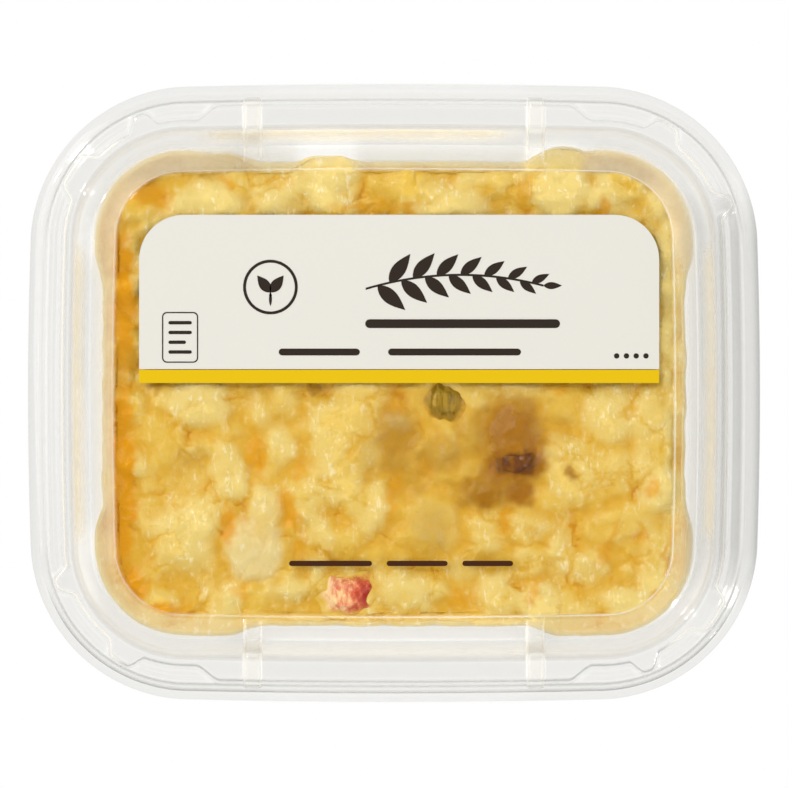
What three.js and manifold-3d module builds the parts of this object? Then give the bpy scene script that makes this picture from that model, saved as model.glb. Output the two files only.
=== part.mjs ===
// A shut, clear, rounded-rectangular deli tub, full of yellow potato salad.
//
// Millimetres, +Z up. The origin is the middle of the tub's foot, at the height of the surface that
// it stands on. X runs along the tub. The front, -Y, is the side that the label's foot points to.
//
// Sections through the walls are lists of [inset, z], from the middle of the tub outwards. An inset
// is measured inwards, square to the outline, from the outer edge of the tub's flange.

import * as THREE from 'three';
import { mergeVertices } from 'three/addons/utils/BufferGeometryUtils.js';
import Module from 'manifold-3d';

const wasm = await Module();
wasm.setup();

// The whole pack.
const LENGTH = 150;
const WIDTH = 126.6;
const HEIGHT = 54;              // foot to the top of the lid's rim, which the ribs stand proud of
const WALL = 0.5;
const CLEARANCE = 0.3;

// The outline in plan.
const CORNER_RADIUS = 32.8;
const RADIUS_LOSS = 1.1;        // how much a corner tightens for each millimetre of inset
const BOW = 0.5;                // how far the middle of a side stands out past its ends

// Heights of the tub and of the lid.
const SEAT = HEIGHT - 5.6;      // top of the tub's flange, where the lid's flange lies
const TUB_RIM = HEIGHT - 3.3;   // top of the tub's rolled rim
const SHOULDER = HEIGHT - 9.4;  // the step between the food's wall and the rim
const LID_FLANGE = SEAT + CLEARANCE + WALL;
const LEDGE = HEIGHT - 2.5;     // the low part of the lid's rim
const PANEL = HEIGHT - 5;       // top face of the lid's sunk middle
const GROOVE = PANEL - 0.4;     // the valley round that middle
const PUSH_UP = 0.8;            // how far the middle of the foot is lifted

// Insets of the pack's main lines.
const LID_EDGE = 1.8;
const LID_WALL = 3.2;
const LEDGE_INNER = 6.2;
const FOOD_WALL_TOP = 13.0;
const FOOD_WALL_FOOT = 19.0;
const PANEL_EDGE = 17.6;

// The middle of each side wall is pushed in, so that a hand can grip the tub.
const GRIPS = {
  long: { depth: 1.5, flat: 27, end: 34 },
  short: { depth: 2.4, flat: 22, end: 29 },
};

// Bridges: where the lid's rim keeps its full height out to the wall, with no ledge. In a corner
// they are ranges of turn, in degrees from the short side. The two diagonals differ.
const LONG_BRIDGE = 38;
const CORNER_BRIDGES = {
  oneDiagonal: [[13.5, 22], [54, 67]],
  otherDiagonal: [[23, 42], [65, 74]],
};
const BRIDGE_SLOPE = 1.6;       // half of the turn in which a ledge changes to a bridge, in degrees

// Four low ribs cross the rim beside the label's tails.
const RIB = { middle: 28.9, halfWidth: 2, slope: 0.7, height: 0.7, outer: 2.6, inner: 14.5 };

// The label: a clear film on the panel with a printed field and band, and two tails.
const FILM = 0.2;
const FILM_GAP = 0.12;          // between the film's tails and what they pass over
const PRINT = 0.15;
const LABEL_MARGIN = 18.0;      // inset of the film's edge on the panel
const TAIL_HALF = 26.8;
const TAIL_FILLET = 3.6;
const TAIL_STICK = 9.8;         // how far below the flange the tails meet the wall
const TAIL_DROP = 22;           // how far below the flange they end
const FILM_BEND = 0.3;          // from the panel's edge of the film to its bend
const FIELD = { left: -52.2, right: 54.3, front: 4.9, back: 36.5, radius: 9.2 };
const BAND_WIDTH = 2.7;

// The salad.
const FOOD_TOP = GROOVE - WALL - CLEARANCE;
const CORE_INSET = 3.2;         // how far the core stays inside the faces of the outer pieces
const CORE_TOP = FOOD_TOP - 3.8;
const FOOD_WALL_POINTS = 8;     // points of the tub's section below its shoulder
const POTATOES = [              // the two large cut faces of potato that show through the panel
  { x: -29.0, y: -28.5, half: [8.6, 7.4, 5.5] },
  { x: 6.5, y: -26.5, half: [6.8, 5.8, 5.0] },
];
const LUMP_SPREAD = 0.12;       // how uneven a lump is
const LUMP_TILT = 0.5;          // radians
const BOX_HALF = 0.86;          // half edge of the box that has a unit ball's size
const SEED = 20417;

const PLASTIC = { color: 0xeef1f0, roughness: 0.08, metalness: 0, transparent: true, opacity: 0.25 };
const FILM_CLEAR = { color: 0xf4f4f2, roughness: 0.12, metalness: 0, transparent: true, opacity: 0.2 };
const CREAM = { color: 0xece9e0, roughness: 0.45, metalness: 0 };
const YELLOW = { color: 0xeec81a, roughness: 0.4, metalness: 0 };
const SALAD = { color: 0xf0c94f, roughness: 0.3, metalness: 0 };
const CELERY = { color: 0x7f8426, roughness: 0.3, metalness: 0 };
const PICKLE = { color: 0x8a5a1e, roughness: 0.3, metalness: 0 };
const PEPPER = { color: 0xd4604a, roughness: 0.28, metalness: 0 };

// Helpers for numbers.

function mix(from, to, share) {
  return from + (to - from) * share;
}

function smoothStep(low, high, value) {
  const share = THREE.MathUtils.clamp((value - low) / (high - low), 0, 1);
  return share * share * (3 - 2 * share);
}

function seededRandom(seed) {
  let state = seed;
  return () => {
    state = (state * 1664525 + 1013904223) % 4294967296;
    return state / 4294967296;
  };
}

// The outline. A station is a place round the pack at which every ring has a point, so that the
// points of one station lie on one section through the wall.

function stationsRound({ shortStops, longStops, turnsOf }) {
  const quarter = (signX, signY) => [
    ...shortStops.map((along) => ({ zone: 'short', along, signX, signY })),
    ...turnsOf(signX * signY).map((turn) => ({ zone: 'corner', turn, signX, signY })),
    ...[...longStops].reverse().map((along) => ({ zone: 'long', along, signX, signY })),
  ];
  const middle = (zone, signX, signY) => ({ zone, along: 0, signX, signY });
  return [
    middle('short', 1, 1),
    ...quarter(1, 1),
    middle('long', 1, 1),
    ...quarter(-1, 1).reverse(),
    middle('short', -1, 1),
    ...quarter(-1, -1),
    middle('long', 1, -1),
    ...quarter(1, -1).reverse(),
  ];
}

// A corner's turns, in degrees from the short side: all the breaks, with even steps between them.
function cornerTurns(breaks, longestStep) {
  const turns = [0];
  for (const stop of [...breaks, 90]) {
    const start = turns[turns.length - 1];
    const steps = Math.ceil((stop - start) / longestStep);
    for (let step = 1; step <= steps; step += 1) {
      turns.push(mix(start, stop, step / steps));
    }
  }
  return turns;
}

function outlinePoint(station, inset, z) {
  const radius = CORNER_RADIUS - RADIUS_LOSS * inset;
  const centreX = LENGTH / 2 - BOW - inset - radius;
  const centreY = WIDTH / 2 - BOW - inset - radius;
  let x = centreX + radius;
  let y = centreY + radius;
  if (station.zone === 'corner') {
    const turn = THREE.MathUtils.degToRad(station.turn);
    x = centreX + radius * Math.cos(turn);
    y = centreY + radius * Math.sin(turn);
  } else if (station.zone === 'short') {
    x += BOW * (1 - (station.along / centreY) ** 2);
    y = station.along;
  } else {
    x = station.along;
    y += BOW * (1 - (station.along / centreX) ** 2);
  }
  return new THREE.Vector3(station.signX * x, station.signY * y, z);
}

// Sections. The offset of a section moves it to its left: up, or in towards the food.

function offsetSection(section, distance) {
  const heading = (from, to) => new THREE.Vector2(from[0] - to[0], to[1] - from[1]).normalize();
  return section.map((point, index) => {
    const before = heading(section[Math.max(index - 1, 0)], section[Math.max(index, 1)]);
    const next = Math.min(index + 1, section.length - 1);
    const after = heading(section[next - 1], section[next]);
    const along = before.clone().add(after).normalize();
    const reach = distance / along.dot(after);
    return [point[0] + along.y * reach, point[1] + along.x * reach];
  });
}

// Meshes from rings.

// A closed mesh through the rings, capped at both ends. Each quad is cut along its short diagonal.
function loft(rings) {
  const count = rings[0].length;
  const points = rings.flat();
  const positions = points.flatMap((point) => [point.x, point.y, point.z]);
  const faces = [];
  for (let ring = 0; ring + 1 < rings.length; ring += 1) {
    for (let step = 0; step < count; step += 1) {
      const a = ring * count + step;
      const b = ring * count + ((step + 1) % count);
      const oneWay = points[a].distanceTo(points[b + count]);
      const otherWay = points[b].distanceTo(points[a + count]);
      if (oneWay < otherWay) {
        faces.push(a, b, b + count, a, b + count, a + count);
      } else {
        faces.push(a, b, a + count, b, b + count, a + count);
      }
    }
  }
  const addCap = (ring, startIndex, facesUp) => {
    const centre = positions.length / 3;
    positions.push(0, 0, ring[0].z);
    for (let step = 0; step < count; step += 1) {
      const here = startIndex + step;
      const next = startIndex + ((step + 1) % count);
      faces.push(centre, ...(facesUp ? [here, next] : [next, here]));
    }
  };
  addCap(rings[0], 0, false);
  addCap(rings[rings.length - 1], (rings.length - 1) * count, true);
  const geometry = new THREE.BufferGeometry();
  geometry.setAttribute('position', new THREE.Float32BufferAttribute(positions, 3));
  geometry.setIndex(faces);
  return geometry;
}

function ringsFrom(sections, stations) {
  return sections[0].map((_, index) => stations.map((station, place) => {
    const [inset, z] = sections[place][index];
    return outlinePoint(station, inset, z);
  }));
}

// A thin wall between two faces. Each section's first point only says that its middle is flat.
function shell(upperSections, lowerSections, stations) {
  const under = ringsFrom(lowerSections, stations).slice(1);
  const over = ringsFrom(upperSections, stations).slice(1).reverse();
  return loft([...under, ...over]);
}

// Solids for joining and cutting.

function toSolid(geometry) {
  const bare = geometry.clone();
  bare.deleteAttribute('normal');
  bare.deleteAttribute('uv');
  const merged = mergeVertices(bare);
  return new wasm.Manifold(new wasm.Mesh({
    numProp: 3,
    vertProperties: merged.attributes.position.array,
    triVerts: new Uint32Array(merged.index.array),
  }));
}

function toGeometry(solid) {
  const mesh = solid.getMesh();
  const geometry = new THREE.BufferGeometry();
  geometry.setAttribute('position', new THREE.Float32BufferAttribute(mesh.vertProperties, 3));
  geometry.setIndex(new THREE.Uint32BufferAttribute(mesh.triVerts, 1));
  return geometry;
}

// The tub.

function gripDepth(station, z) {
  const grip = GRIPS[station.zone];
  if (grip === undefined) {
    return 0;
  }
  const across = 1 - smoothStep(grip.flat, grip.end, station.along);
  const up = mix(0.4, 1, z / SHOULDER);
  return grip.depth * across * up;
}

// The food's wall, between the rounded foot and the shoulder, away from the grips.
function foodWallInset(z) {
  const foot = WALL + 2.5;
  const top = SHOULDER - 1.2;
  return mix(FOOD_WALL_FOOT, FOOD_WALL_TOP + 0.6, (z - foot) / (top - foot));
}

// The tub's inner face, from the middle of its floor to the edge of its flange.
function tubSection(station) {
  const floor = WALL;
  const pushIn = (inset, z) => [inset + gripDepth(station, z), z];
  return [
    [31, floor + PUSH_UP],
    [29.5, floor + PUSH_UP],
    [28.5, floor],
    [21.6, floor],
    pushIn(19.9, floor + 0.7),
    pushIn(FOOD_WALL_FOOT, floor + 2.5),
    pushIn(foodWallInset(SHOULDER - 1.2), SHOULDER - 1.2),
    pushIn(FOOD_WALL_TOP, SHOULDER - 0.4),
    [9.9, SHOULDER],
    [9.5, SHOULDER + 0.5],
    [8.7, TUB_RIM - 0.5],
    [8.2, TUB_RIM],
    [4.8, TUB_RIM],
    [4.3, TUB_RIM - 0.4],
    [3.9, SEAT],
    [0, SEAT],
  ];
}

const GRIP_STOPS = { shortStops: [22, 25.5], longStops: [27, 30.5, 34] };
const TUB_STATIONS = stationsRound({ ...GRIP_STOPS, turnsOf: () => cornerTurns([], 90 / 8) });

function makeTub() {
  const inner = TUB_STATIONS.map(tubSection);
  const outer = inner.map((section) => offsetSection(section, -WALL));
  return shell(inner, outer, TUB_STATIONS);
}

// The lid.

function cornerBridges(diagonal) {
  return diagonal > 0 ? CORNER_BRIDGES.oneDiagonal : CORNER_BRIDGES.otherDiagonal;
}

const RIB_STOPS = [-1, 1].flatMap((side) => [-1, 1].map((edge) => (
  RIB.middle + side * (RIB.halfWidth + (side * edge - 1) * RIB.slope / 2)
)));
const LID_STATIONS = stationsRound({
  shortStops: [22],
  longStops: [...RIB_STOPS, LONG_BRIDGE - 1.2, LONG_BRIDGE + 1.2].sort((a, b) => a - b),
  turnsOf: (diagonal) => cornerTurns(
    cornerBridges(diagonal).flat().flatMap((turn) => [turn - BRIDGE_SLOPE, turn + BRIDGE_SLOPE]), 9,
  ),
});

// How far the ledge is present at a station: 0 on a bridge and 1 on the ledge.
function ledgeShare(station) {
  if (station.zone === 'short') {
    return 1;
  }
  if (station.zone === 'long') {
    return station.along > LONG_BRIDGE ? 1 : 0;
  }
  const onBridge = cornerBridges(station.signX * station.signY)
    .some(([from, to]) => station.turn > from && station.turn < to);
  return onBridge ? 0 : 1;
}

// The lid's top face, from the middle of the panel to the edge of its flange.
function lidSection(ledge) {
  return [
    [PANEL_EDGE + 2, PANEL],
    [PANEL_EDGE, PANEL],
    [PANEL_EDGE - 0.5, GROOVE],
    [12.6, GROOVE + 1.1],
    [9.8, HEIGHT - 0.4],
    [9.2, HEIGHT],
    [mix(4.4, LEDGE_INNER + 1.1, ledge), HEIGHT],
    [mix(3.9, LEDGE_INNER + 0.6, ledge), HEIGHT - 0.4],
    [mix(LID_WALL + 0.1, LEDGE_INNER, ledge), LEDGE + mix(0.3, 0, ledge)],
    [LID_WALL, LEDGE],
    [LID_WALL - 0.4, LID_FLANGE],
    [LID_EDGE, LID_FLANGE],
  ];
}

// A rib lifts the section square to its face, between the rib's two ends.
function ribLift(station) {
  if (station.zone !== 'long') {
    return 0;
  }
  const offMiddle = Math.abs(station.along - RIB.middle);
  return offMiddle < RIB.halfWidth - RIB.slope / 2 ? RIB.height : 0;
}

function liftSection(section, lift) {
  const lifted = offsetSection(section, lift);
  return section.map((point, index) => {
    const onRib = point[0] > RIB.outer && point[0] < RIB.inner;
    return onRib ? lifted[index] : point;
  });
}

function makeLid() {
  const over = LID_STATIONS.map((station) => lidSection(ledgeShare(station)));
  const under = over.map((section) => offsetSection(section, -WALL));
  const lifts = LID_STATIONS.map(ribLift);
  return shell(
    over.map((section, place) => liftSection(section, lifts[place])),
    under.map((section, place) => liftSection(section, lifts[place])),
    LID_STATIONS,
  );
}

// The label.

function extrudeShape(points, depth) {
  return new THREE.ExtrudeGeometry(new THREE.Shape(points), { depth, bevelEnabled: false });
}

// The film's underside from the middle of the panel to the front: over the rim, round the edge of
// the flange and down the tub's wall.
function filmSection() {
  const wallTop = SEAT - TAIL_STICK;
  const wallFoot = SEAT - TAIL_DROP;
  const middle = { zone: 'long', along: 0 };
  const wallInset = (z) => {
    const inner = foodWallInset(z) + gripDepth(middle, z);
    return inner - WALL - FILM_GAP;
  };
  return [
    [WIDTH / 2, PANEL],
    [LABEL_MARGIN - FILM_BEND, PANEL],
    [9.2, HEIGHT + FILM_GAP],
    [4.4, HEIGHT + FILM_GAP],
    [3.7, HEIGHT - 0.3],
    [-FILM_GAP, SEAT + 0.2],
    [-FILM_GAP, SEAT - WALL - 0.2],
    [wallInset(wallTop), wallTop],
    [wallInset(wallFoot), wallFoot],
  ];
}

// The bent sheet that the film is cut from, as wide as the panel.
function bentSheet() {
  const under = filmSection();
  const over = offsetSection(under, FILM);
  const across = (section, side) => section
    .filter(([inset]) => inset < WIDTH / 2)
    .map(([inset, z]) => new THREE.Vector2(side * (WIDTH / 2 - inset), z));
  const geometry = extrudeShape([
    ...across(under, -1).reverse(),
    ...across(under, 1),
    ...across(over, 1).reverse(),
    ...across(over, -1),
  ], LENGTH);
  geometry.translate(0, 0, -LENGTH / 2);
  geometry.rotateX(Math.PI / 2);
  geometry.rotateZ(Math.PI / 2);
  return toSolid(geometry);
}

// The film's outline in plan: the panel with two tails, joined to it by hollow fillets.
function filmOutline() {
  const path = new THREE.Path();
  const halfX = LENGTH / 2 - LABEL_MARGIN;
  const halfY = WIDTH / 2 - LABEL_MARGIN;
  const radius = CORNER_RADIUS - RADIUS_LOSS * LABEL_MARGIN;
  const reach = WIDTH / 2 + 2;
  const quarter = Math.PI / 2;
  path.moveTo(halfX, 0);
  for (const side of [1, -1]) {
    const turn = side > 0 ? 0 : Math.PI;
    path.absarc(side * (halfX - radius), side * (halfY - radius), radius, turn, turn + quarter);
    path.absarc(
      side * (TAIL_HALF + TAIL_FILLET), side * (halfY + TAIL_FILLET), TAIL_FILLET,
      turn - quarter, turn - 2 * quarter, true,
    );
    path.lineTo(side * TAIL_HALF, side * reach);
    path.lineTo(-side * TAIL_HALF, side * reach);
    path.absarc(
      -side * (TAIL_HALF + TAIL_FILLET), side * (halfY + TAIL_FILLET), TAIL_FILLET,
      turn, turn - quarter, true,
    );
    path.absarc(
      -side * (halfX - radius), side * (halfY - radius), radius, turn + quarter, turn + 2 * quarter,
    );
  }
  return path.getPoints(4);
}

function makeFilm() {
  const cutter = extrudeShape(filmOutline(), HEIGHT + 2);
  return toGeometry(bentSheet().intersect(toSolid(cutter)));
}

function makeField() {
  const { left, right, front, back, radius } = FIELD;
  const shape = new THREE.Shape();
  shape.moveTo(left, front);
  shape.lineTo(right, front);
  shape.absarc(right - radius, back - radius, radius, 0, Math.PI / 2);
  shape.absarc(left + radius, back - radius, radius, Math.PI / 2, Math.PI);
  const geometry = extrudeShape(shape.getPoints(8), PRINT);
  geometry.translate(0, 0, PANEL + FILM);
  return geometry;
}

function makeBand() {
  const { left, right, front } = FIELD;
  const geometry = new THREE.BoxGeometry(right - left, BAND_WIDTH, PRINT);
  const middleY = front - CLEARANCE / 2 - BAND_WIDTH / 2;
  geometry.translate((left + right) / 2, middleY, PANEL + FILM + PRINT / 2);
  return geometry;
}

// The largest body of a solid, with any sealed hollow in it filled and loose scraps left off.
function largestBody(solid) {
  return solid.decompose().reduce((best, body) => (body.volume() > best.volume() ? body : best));
}

// The salad: a core, with the lumps that show fused on and pressed flat where they meet the pack.

// The room that the food has, less an inset, up to a top height.
function foodRoom(inset, top, stops) {
  const stations = stationsRound({ ...stops, turnsOf: () => cornerTurns([], 90 / 4) });
  const sections = stations.map((station) => {
    const wall = offsetSection(tubSection(station), CLEARANCE + inset).slice(1, FOOD_WALL_POINTS);
    const [rim] = wall[wall.length - 1];
    const below = wall.filter(([, z]) => z < top - 1);
    return [...below, [rim, top]];
  });
  return toSolid(loft(ringsFrom(sections, stations)));
}

// A unit ball whose corners are moved in and out by a share, and out towards a box of equal size.
function unevenBall({ ball, boxiness, spread, random }) {
  ball.deleteAttribute('normal');
  ball.deleteAttribute('uv');
  const geometry = mergeVertices(ball);
  const position = geometry.attributes.position;
  const point = new THREE.Vector3();
  for (let index = 0; index < position.count; index += 1) {
    point.fromBufferAttribute(position, index);
    const largest = Math.max(Math.abs(point.x), Math.abs(point.y), Math.abs(point.z));
    const boxed = mix(1, BOX_HALF / largest, boxiness);
    point.multiplyScalar(boxed * mix(1 - spread, 1 + spread, random()));
    position.setXYZ(index, point.x, point.y, point.z);
  }
  return geometry;
}

// One irregular lump, as large as its three half sizes, turned at random.
function lump({ ball, at, half, boxiness, random }) {
  const geometry = unevenBall({ ball, boxiness, spread: LUMP_SPREAD, random });
  geometry.scale(...half);
  geometry.rotateX(mix(-LUMP_TILT, LUMP_TILT, random()));
  geometry.rotateY(mix(-LUMP_TILT, LUMP_TILT, random()));
  geometry.rotateZ(2 * Math.PI * random());
  geometry.translate(...at);
  return toSolid(geometry);
}

// Lumps under the lid, on a loose grid. Every second column is shifted by half a row.
function topLumps(random) {
  const columns = 8;
  const rows = 5;
  const pitchX = 15.0;
  const pitchY = 18.0;
  const lumps = [];
  for (let column = 0; column < columns; column += 1) {
    for (let row = 0; row < rows; row += 1) {
      const shift = column % 2 === 0 ? 0.25 : -0.25;
      const x = (column - (columns - 1) / 2 + mix(-0.2, 0.2, random())) * pitchX;
      const y = (row - (rows - 1) / 2 + shift + mix(-0.2, 0.2, random())) * pitchY;
      const size = mix(7.6, 9.4, random());
      const half = [size, size * mix(0.8, 1, random()), size * mix(0.7, 0.85, random())];
      const z = FOOD_TOP + mix(1.0, 0, random()) - half[2];
      const ball = new THREE.IcosahedronGeometry(1, 0);
      lumps.push(lump({ ball, at: [x, y, z], half, boxiness: 0.3 * random(), random }));
    }
  }
  return lumps;
}

// The cut potatoes are blocks, held flat against the panel.
function potatoLumps(random) {
  return POTATOES.map(({ x, y, half }) => {
    const ball = new THREE.OctahedronGeometry(1, 1);
    return lump({ ball, at: [x, y, FOOD_TOP + 1 - half[2]], half, boxiness: 0.6, random });
  });
}

// Lumps against the tub's wall, in level rows, evenly spaced along it.
function sideLumps(random) {
  const heights = [8.5, 21.5, 34.5];
  const around = 16;
  const sink = 6.2;
  const lumps = [];
  heights.forEach((height, row) => {
    const ring = TUB_STATIONS.map((station) => (
      outlinePoint(station, foodWallInset(height) + gripDepth(station, height) + sink, height)
    ));
    const wall = new THREE.CatmullRomCurve3(ring, true);
    for (let step = 0; step < around; step += 1) {
      const share = (step + 0.5 * (row % 2) + mix(-0.15, 0.15, random())) / around;
      const at = wall.getPointAt((share + 1) % 1);
      const size = mix(8.4, 10.2, random());
      const half = [size, size * mix(0.8, 1, random()), size * mix(0.75, 1, random())];
      const centre = [at.x, at.y, at.z + mix(-1.5, 1.5, random())];
      const ball = new THREE.BoxGeometry(1.2, 1.2, 1.2);
      lumps.push(lump({ ball, at: centre, half, boxiness: 0, random }));
    }
  });
  return lumps;
}

// Loose pieces of vegetable that show through the lid. A piece is made again, a little larger, to
// cut its own place in the salad.
const PIECES = {
  celery_piece: { at: [10.8, -1.9, -2.6], half: [4.5, 3.7, 2.9], turn: -0.3, boxiness: 0.6, seed: 5 },
  pickle_piece: { at: [26.6, -14.6, -3.2], half: [4.2, 3.0, 2.7], turn: 0.5, boxiness: 0.5, seed: 9 },
  pepper_piece: { at: [-9.6, -41.4, -2.7], half: [5.8, 4.4, 3.1], turn: 0.25, boxiness: 0.7, seed: 12 },
};

function vegetable({ at, half, turn, boxiness, seed }, growth) {
  const ball = new THREE.IcosahedronGeometry(1, 1);
  const geometry = unevenBall({ ball, boxiness, spread: 0.05, random: seededRandom(seed) });
  geometry.scale(...half.map((size) => size + growth));
  geometry.rotateZ(turn);
  geometry.translate(at[0], at[1], FOOD_TOP + at[2]);
  return toSolid(geometry);
}

function makeSalad(room) {
  const random = seededRandom(SEED);
  let heap = foodRoom(CORE_INSET, CORE_TOP, { shortStops: [], longStops: [] });
  for (const piece of [...topLumps(random), ...potatoLumps(random), ...sideLumps(random)]) {
    heap = heap.add(piece);
  }
  heap = heap.intersect(room);
  for (const piece of Object.values(PIECES)) {
    heap = heap.subtract(vegetable(piece, 2 * CLEARANCE));
  }
  return toGeometry(largestBody(heap));
}

// The parts.

function part(name, geometry, finish) {
  const mesh = new THREE.Mesh(geometry, new THREE.MeshStandardMaterial(finish));
  mesh.name = name;
  return mesh;
}

const pack = new THREE.Group();
const room = foodRoom(0, FOOD_TOP, { shortStops: [22], longStops: [27] });
pack.add(part('tub', makeTub(), PLASTIC));
pack.add(part('lid', makeLid(), PLASTIC));
pack.add(part('label_film', makeFilm(), FILM_CLEAR));
pack.add(part('label_field', makeField(), CREAM));
pack.add(part('label_band', makeBand(), YELLOW));
pack.add(part('salad', makeSalad(room), SALAD));
const VEGETABLE_FINISHES = { celery_piece: CELERY, pickle_piece: PICKLE, pepper_piece: PEPPER };
for (const [name, piece] of Object.entries(PIECES)) {
  const geometry = toGeometry(vegetable(piece, 0).intersect(room));
  pack.add(part(name, geometry, VEGETABLE_FINISHES[name]));
}

export default pack;
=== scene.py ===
# %% [markdown]
# # Potato salad in a shut, clear tub
#
# A retail pack of yellow potato salad: a clear tub, a clear lid with a sunk panel, a clear label
# with a printed field, and the salad pressed up against the lid. It is seen from straight above.
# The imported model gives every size. This script dresses it: fine shells for the two plastic
# parts, a taut film for the label, and a salad whose skin is wrapped over real lumps.

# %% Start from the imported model
import math
import random

import bmesh
import bpy
import numpy as np
from mathutils import Matrix, Vector, noise


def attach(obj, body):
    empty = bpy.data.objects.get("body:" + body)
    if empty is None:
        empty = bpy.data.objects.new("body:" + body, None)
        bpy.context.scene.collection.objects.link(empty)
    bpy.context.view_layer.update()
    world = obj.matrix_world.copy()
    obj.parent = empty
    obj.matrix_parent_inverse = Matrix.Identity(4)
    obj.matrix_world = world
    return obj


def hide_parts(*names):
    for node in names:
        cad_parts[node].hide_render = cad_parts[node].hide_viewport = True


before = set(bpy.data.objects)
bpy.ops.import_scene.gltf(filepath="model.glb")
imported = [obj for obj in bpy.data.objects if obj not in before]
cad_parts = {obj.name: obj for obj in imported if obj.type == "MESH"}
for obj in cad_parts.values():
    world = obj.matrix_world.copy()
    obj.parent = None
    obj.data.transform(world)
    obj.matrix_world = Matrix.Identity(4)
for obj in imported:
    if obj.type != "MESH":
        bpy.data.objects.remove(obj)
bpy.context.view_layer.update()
print("nodes:", ", ".join(sorted(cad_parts)))

# %% [markdown]
# ## Sizes
#
# The named values of the part's source, in millimetres, so that each shell fits the solid that it
# replaces. Only the depth of the grips and the slope of the bridges differ: here they are fitted
# more closely to what the pack looks like from above. An inset is a distance in from the outer edge
# of the tub's flange, square to the outline. A section through a wall lists insets and heights.

# %% Sizes of the pack, in millimetres
MM = 0.001
LENGTH, WIDTH, HEIGHT = 150.0, 126.6, 54.0
WALL, CLEARANCE = 0.5, 0.3
CORNER_RADIUS, RADIUS_LOSS, BOW = 32.8, 1.1, 0.5
SEAT, TUB_RIM, SHOULDER = HEIGHT - 5.6, HEIGHT - 3.3, HEIGHT - 9.4
LID_FLANGE = SEAT + CLEARANCE + WALL
LEDGE, PANEL = HEIGHT - 2.5, HEIGHT - 5.0
GROOVE = PANEL - 0.4
PUSH_UP = 0.8
LID_EDGE, LID_WALL, LEDGE_INNER = 1.8, 3.2, 6.2
FOOD_WALL_TOP, FOOD_WALL_FOOT, PANEL_EDGE = 13.0, 19.0, 17.6
# A grip's depth, and how far from the middle of its side it begins and ends to fade.
GRIPS = {"long": (2.3, 27.0, 34.0), "short": (1.8, 22.0, 29.0)}
# Bridges, where the lid's rim has no ledge: in a corner they are ranges of turn, in degrees.
LONG_BRIDGE, BRIDGE_SLOPE = 38.0, 3.4
CORNER_BRIDGES = {1: [(13.5, 22.0), (54.0, 67.0)], -1: [(23.0, 42.0), (65.0, 74.0)]}
RIB = {"middle": 28.9, "half_width": 2.0, "slope": 0.7, "height": 0.7, "outer": 2.6, "inner": 14.5}
FILM, FILM_GAP, PRINT = 0.2, 0.12, 0.15
LABEL_MARGIN, TAIL_HALF, TAIL_FILLET = 18.0, 26.8, 3.6
TAIL_STICK, TAIL_DROP, FILM_BEND = 9.8, 22.0, 0.3


def mix(start, end, share):
    return start + (end - start) * share


def smooth_step(low, high, value):
    share = np.clip((value - low) / (high - low), 0, 1)
    return share * share * (3 - 2 * share)


print("panel at", PANEL, "mm, flange at", SEAT, "mm")

# %% [markdown]
# ## Meshes from arrays
#
# The shells are regular grids of points, so they are worked out with numpy and handed to Blender
# in one go. A loft joins rings, all with the same number of points, and closes both ends with a
# fan of triangles.

# %% Helpers that make meshes
def new_object(name, points, faces, smooth=True):
    mesh = bpy.data.meshes.new(name)
    mesh.from_pydata((np.asarray(points) * MM).tolist(), [], faces)
    mesh.polygons.foreach_set("use_smooth", [smooth] * len(mesh.polygons))
    mesh.update()
    made = bpy.data.objects.new(name, mesh)
    bpy.context.scene.collection.objects.link(made)
    return made


def loft(name, rings):
    count, around = rings.shape[:2]
    points = rings.reshape(-1, 3).tolist()
    index = np.arange(count * around).reshape(count, around)
    here, beside = index, np.roll(index, -1, axis=1)
    quads = np.stack([here[:-1], beside[:-1], beside[1:], here[1:]], -1).reshape(-1, 4)
    faces = quads.tolist()
    for ring, flip in ((0, True), (count - 1, False)):
        points.append([0, 0, rings[ring, 0, 2]])
        middle = len(points) - 1
        for a, b in zip(here[ring].tolist(), beside[ring].tolist()):
            faces.append((middle, b, a) if flip else (middle, a, b))
    return new_object(name, points, faces)


def describe(made):
    made.data.calc_loop_triangles()
    print(made.name, len(made.data.loop_triangles), "triangles")


def points_of(made):
    """The points of a mesh as an array, in millimetres."""
    points = np.empty(len(made.data.vertices) * 3)
    made.data.vertices.foreach_get("co", points)
    return points.reshape(-1, 3) / MM


def store(made, name, kind, values):
    """Keeps a FLOAT or a FLOAT_VECTOR at each point of a mesh, for the node trees to read."""
    field = "vector" if kind == "FLOAT_VECTOR" else "value"
    made.data.attributes.new(name, kind, "POINT").data.foreach_set(field, np.ravel(values))


# %% [markdown]
# ## The outline
#
# Every ring of the pack follows one rounded rectangle with slightly bowed sides. Stations are
# places round it. A ring has one point at each, so all the points of one station lie on one
# section through the wall.

# %% Stations round the outline
SHORT, CORNER, LONG = 0, 1, 2


class Stations:
    def __init__(self, short_stops, long_stops, turns):
        rows = [(SHORT, 0, 0, 1, 1)]
        rows += self.quarter(short_stops, long_stops, turns, 1, 1)
        rows += [(LONG, 0, 0, 1, 1)]
        rows += self.quarter(short_stops, long_stops, turns, -1, 1)[::-1]
        rows += [(SHORT, 0, 0, -1, 1)]
        rows += self.quarter(short_stops, long_stops, turns, -1, -1)
        rows += [(LONG, 0, 0, 1, -1)]
        rows += self.quarter(short_stops, long_stops, turns, 1, -1)[::-1]
        table = np.array(rows, float)
        self.kind, self.along, self.turn, self.side_x, self.side_y = table.T
        self.count = len(rows)

    @staticmethod
    def quarter(short_stops, long_stops, turns, side_x, side_y):
        rows = [(SHORT, along, 0, side_x, side_y) for along in short_stops]
        rows += [(CORNER, 0, turn, side_x, side_y) for turn in turns]
        rows += [(LONG, along, 0, side_x, side_y) for along in reversed(list(long_stops))]
        return rows


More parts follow.
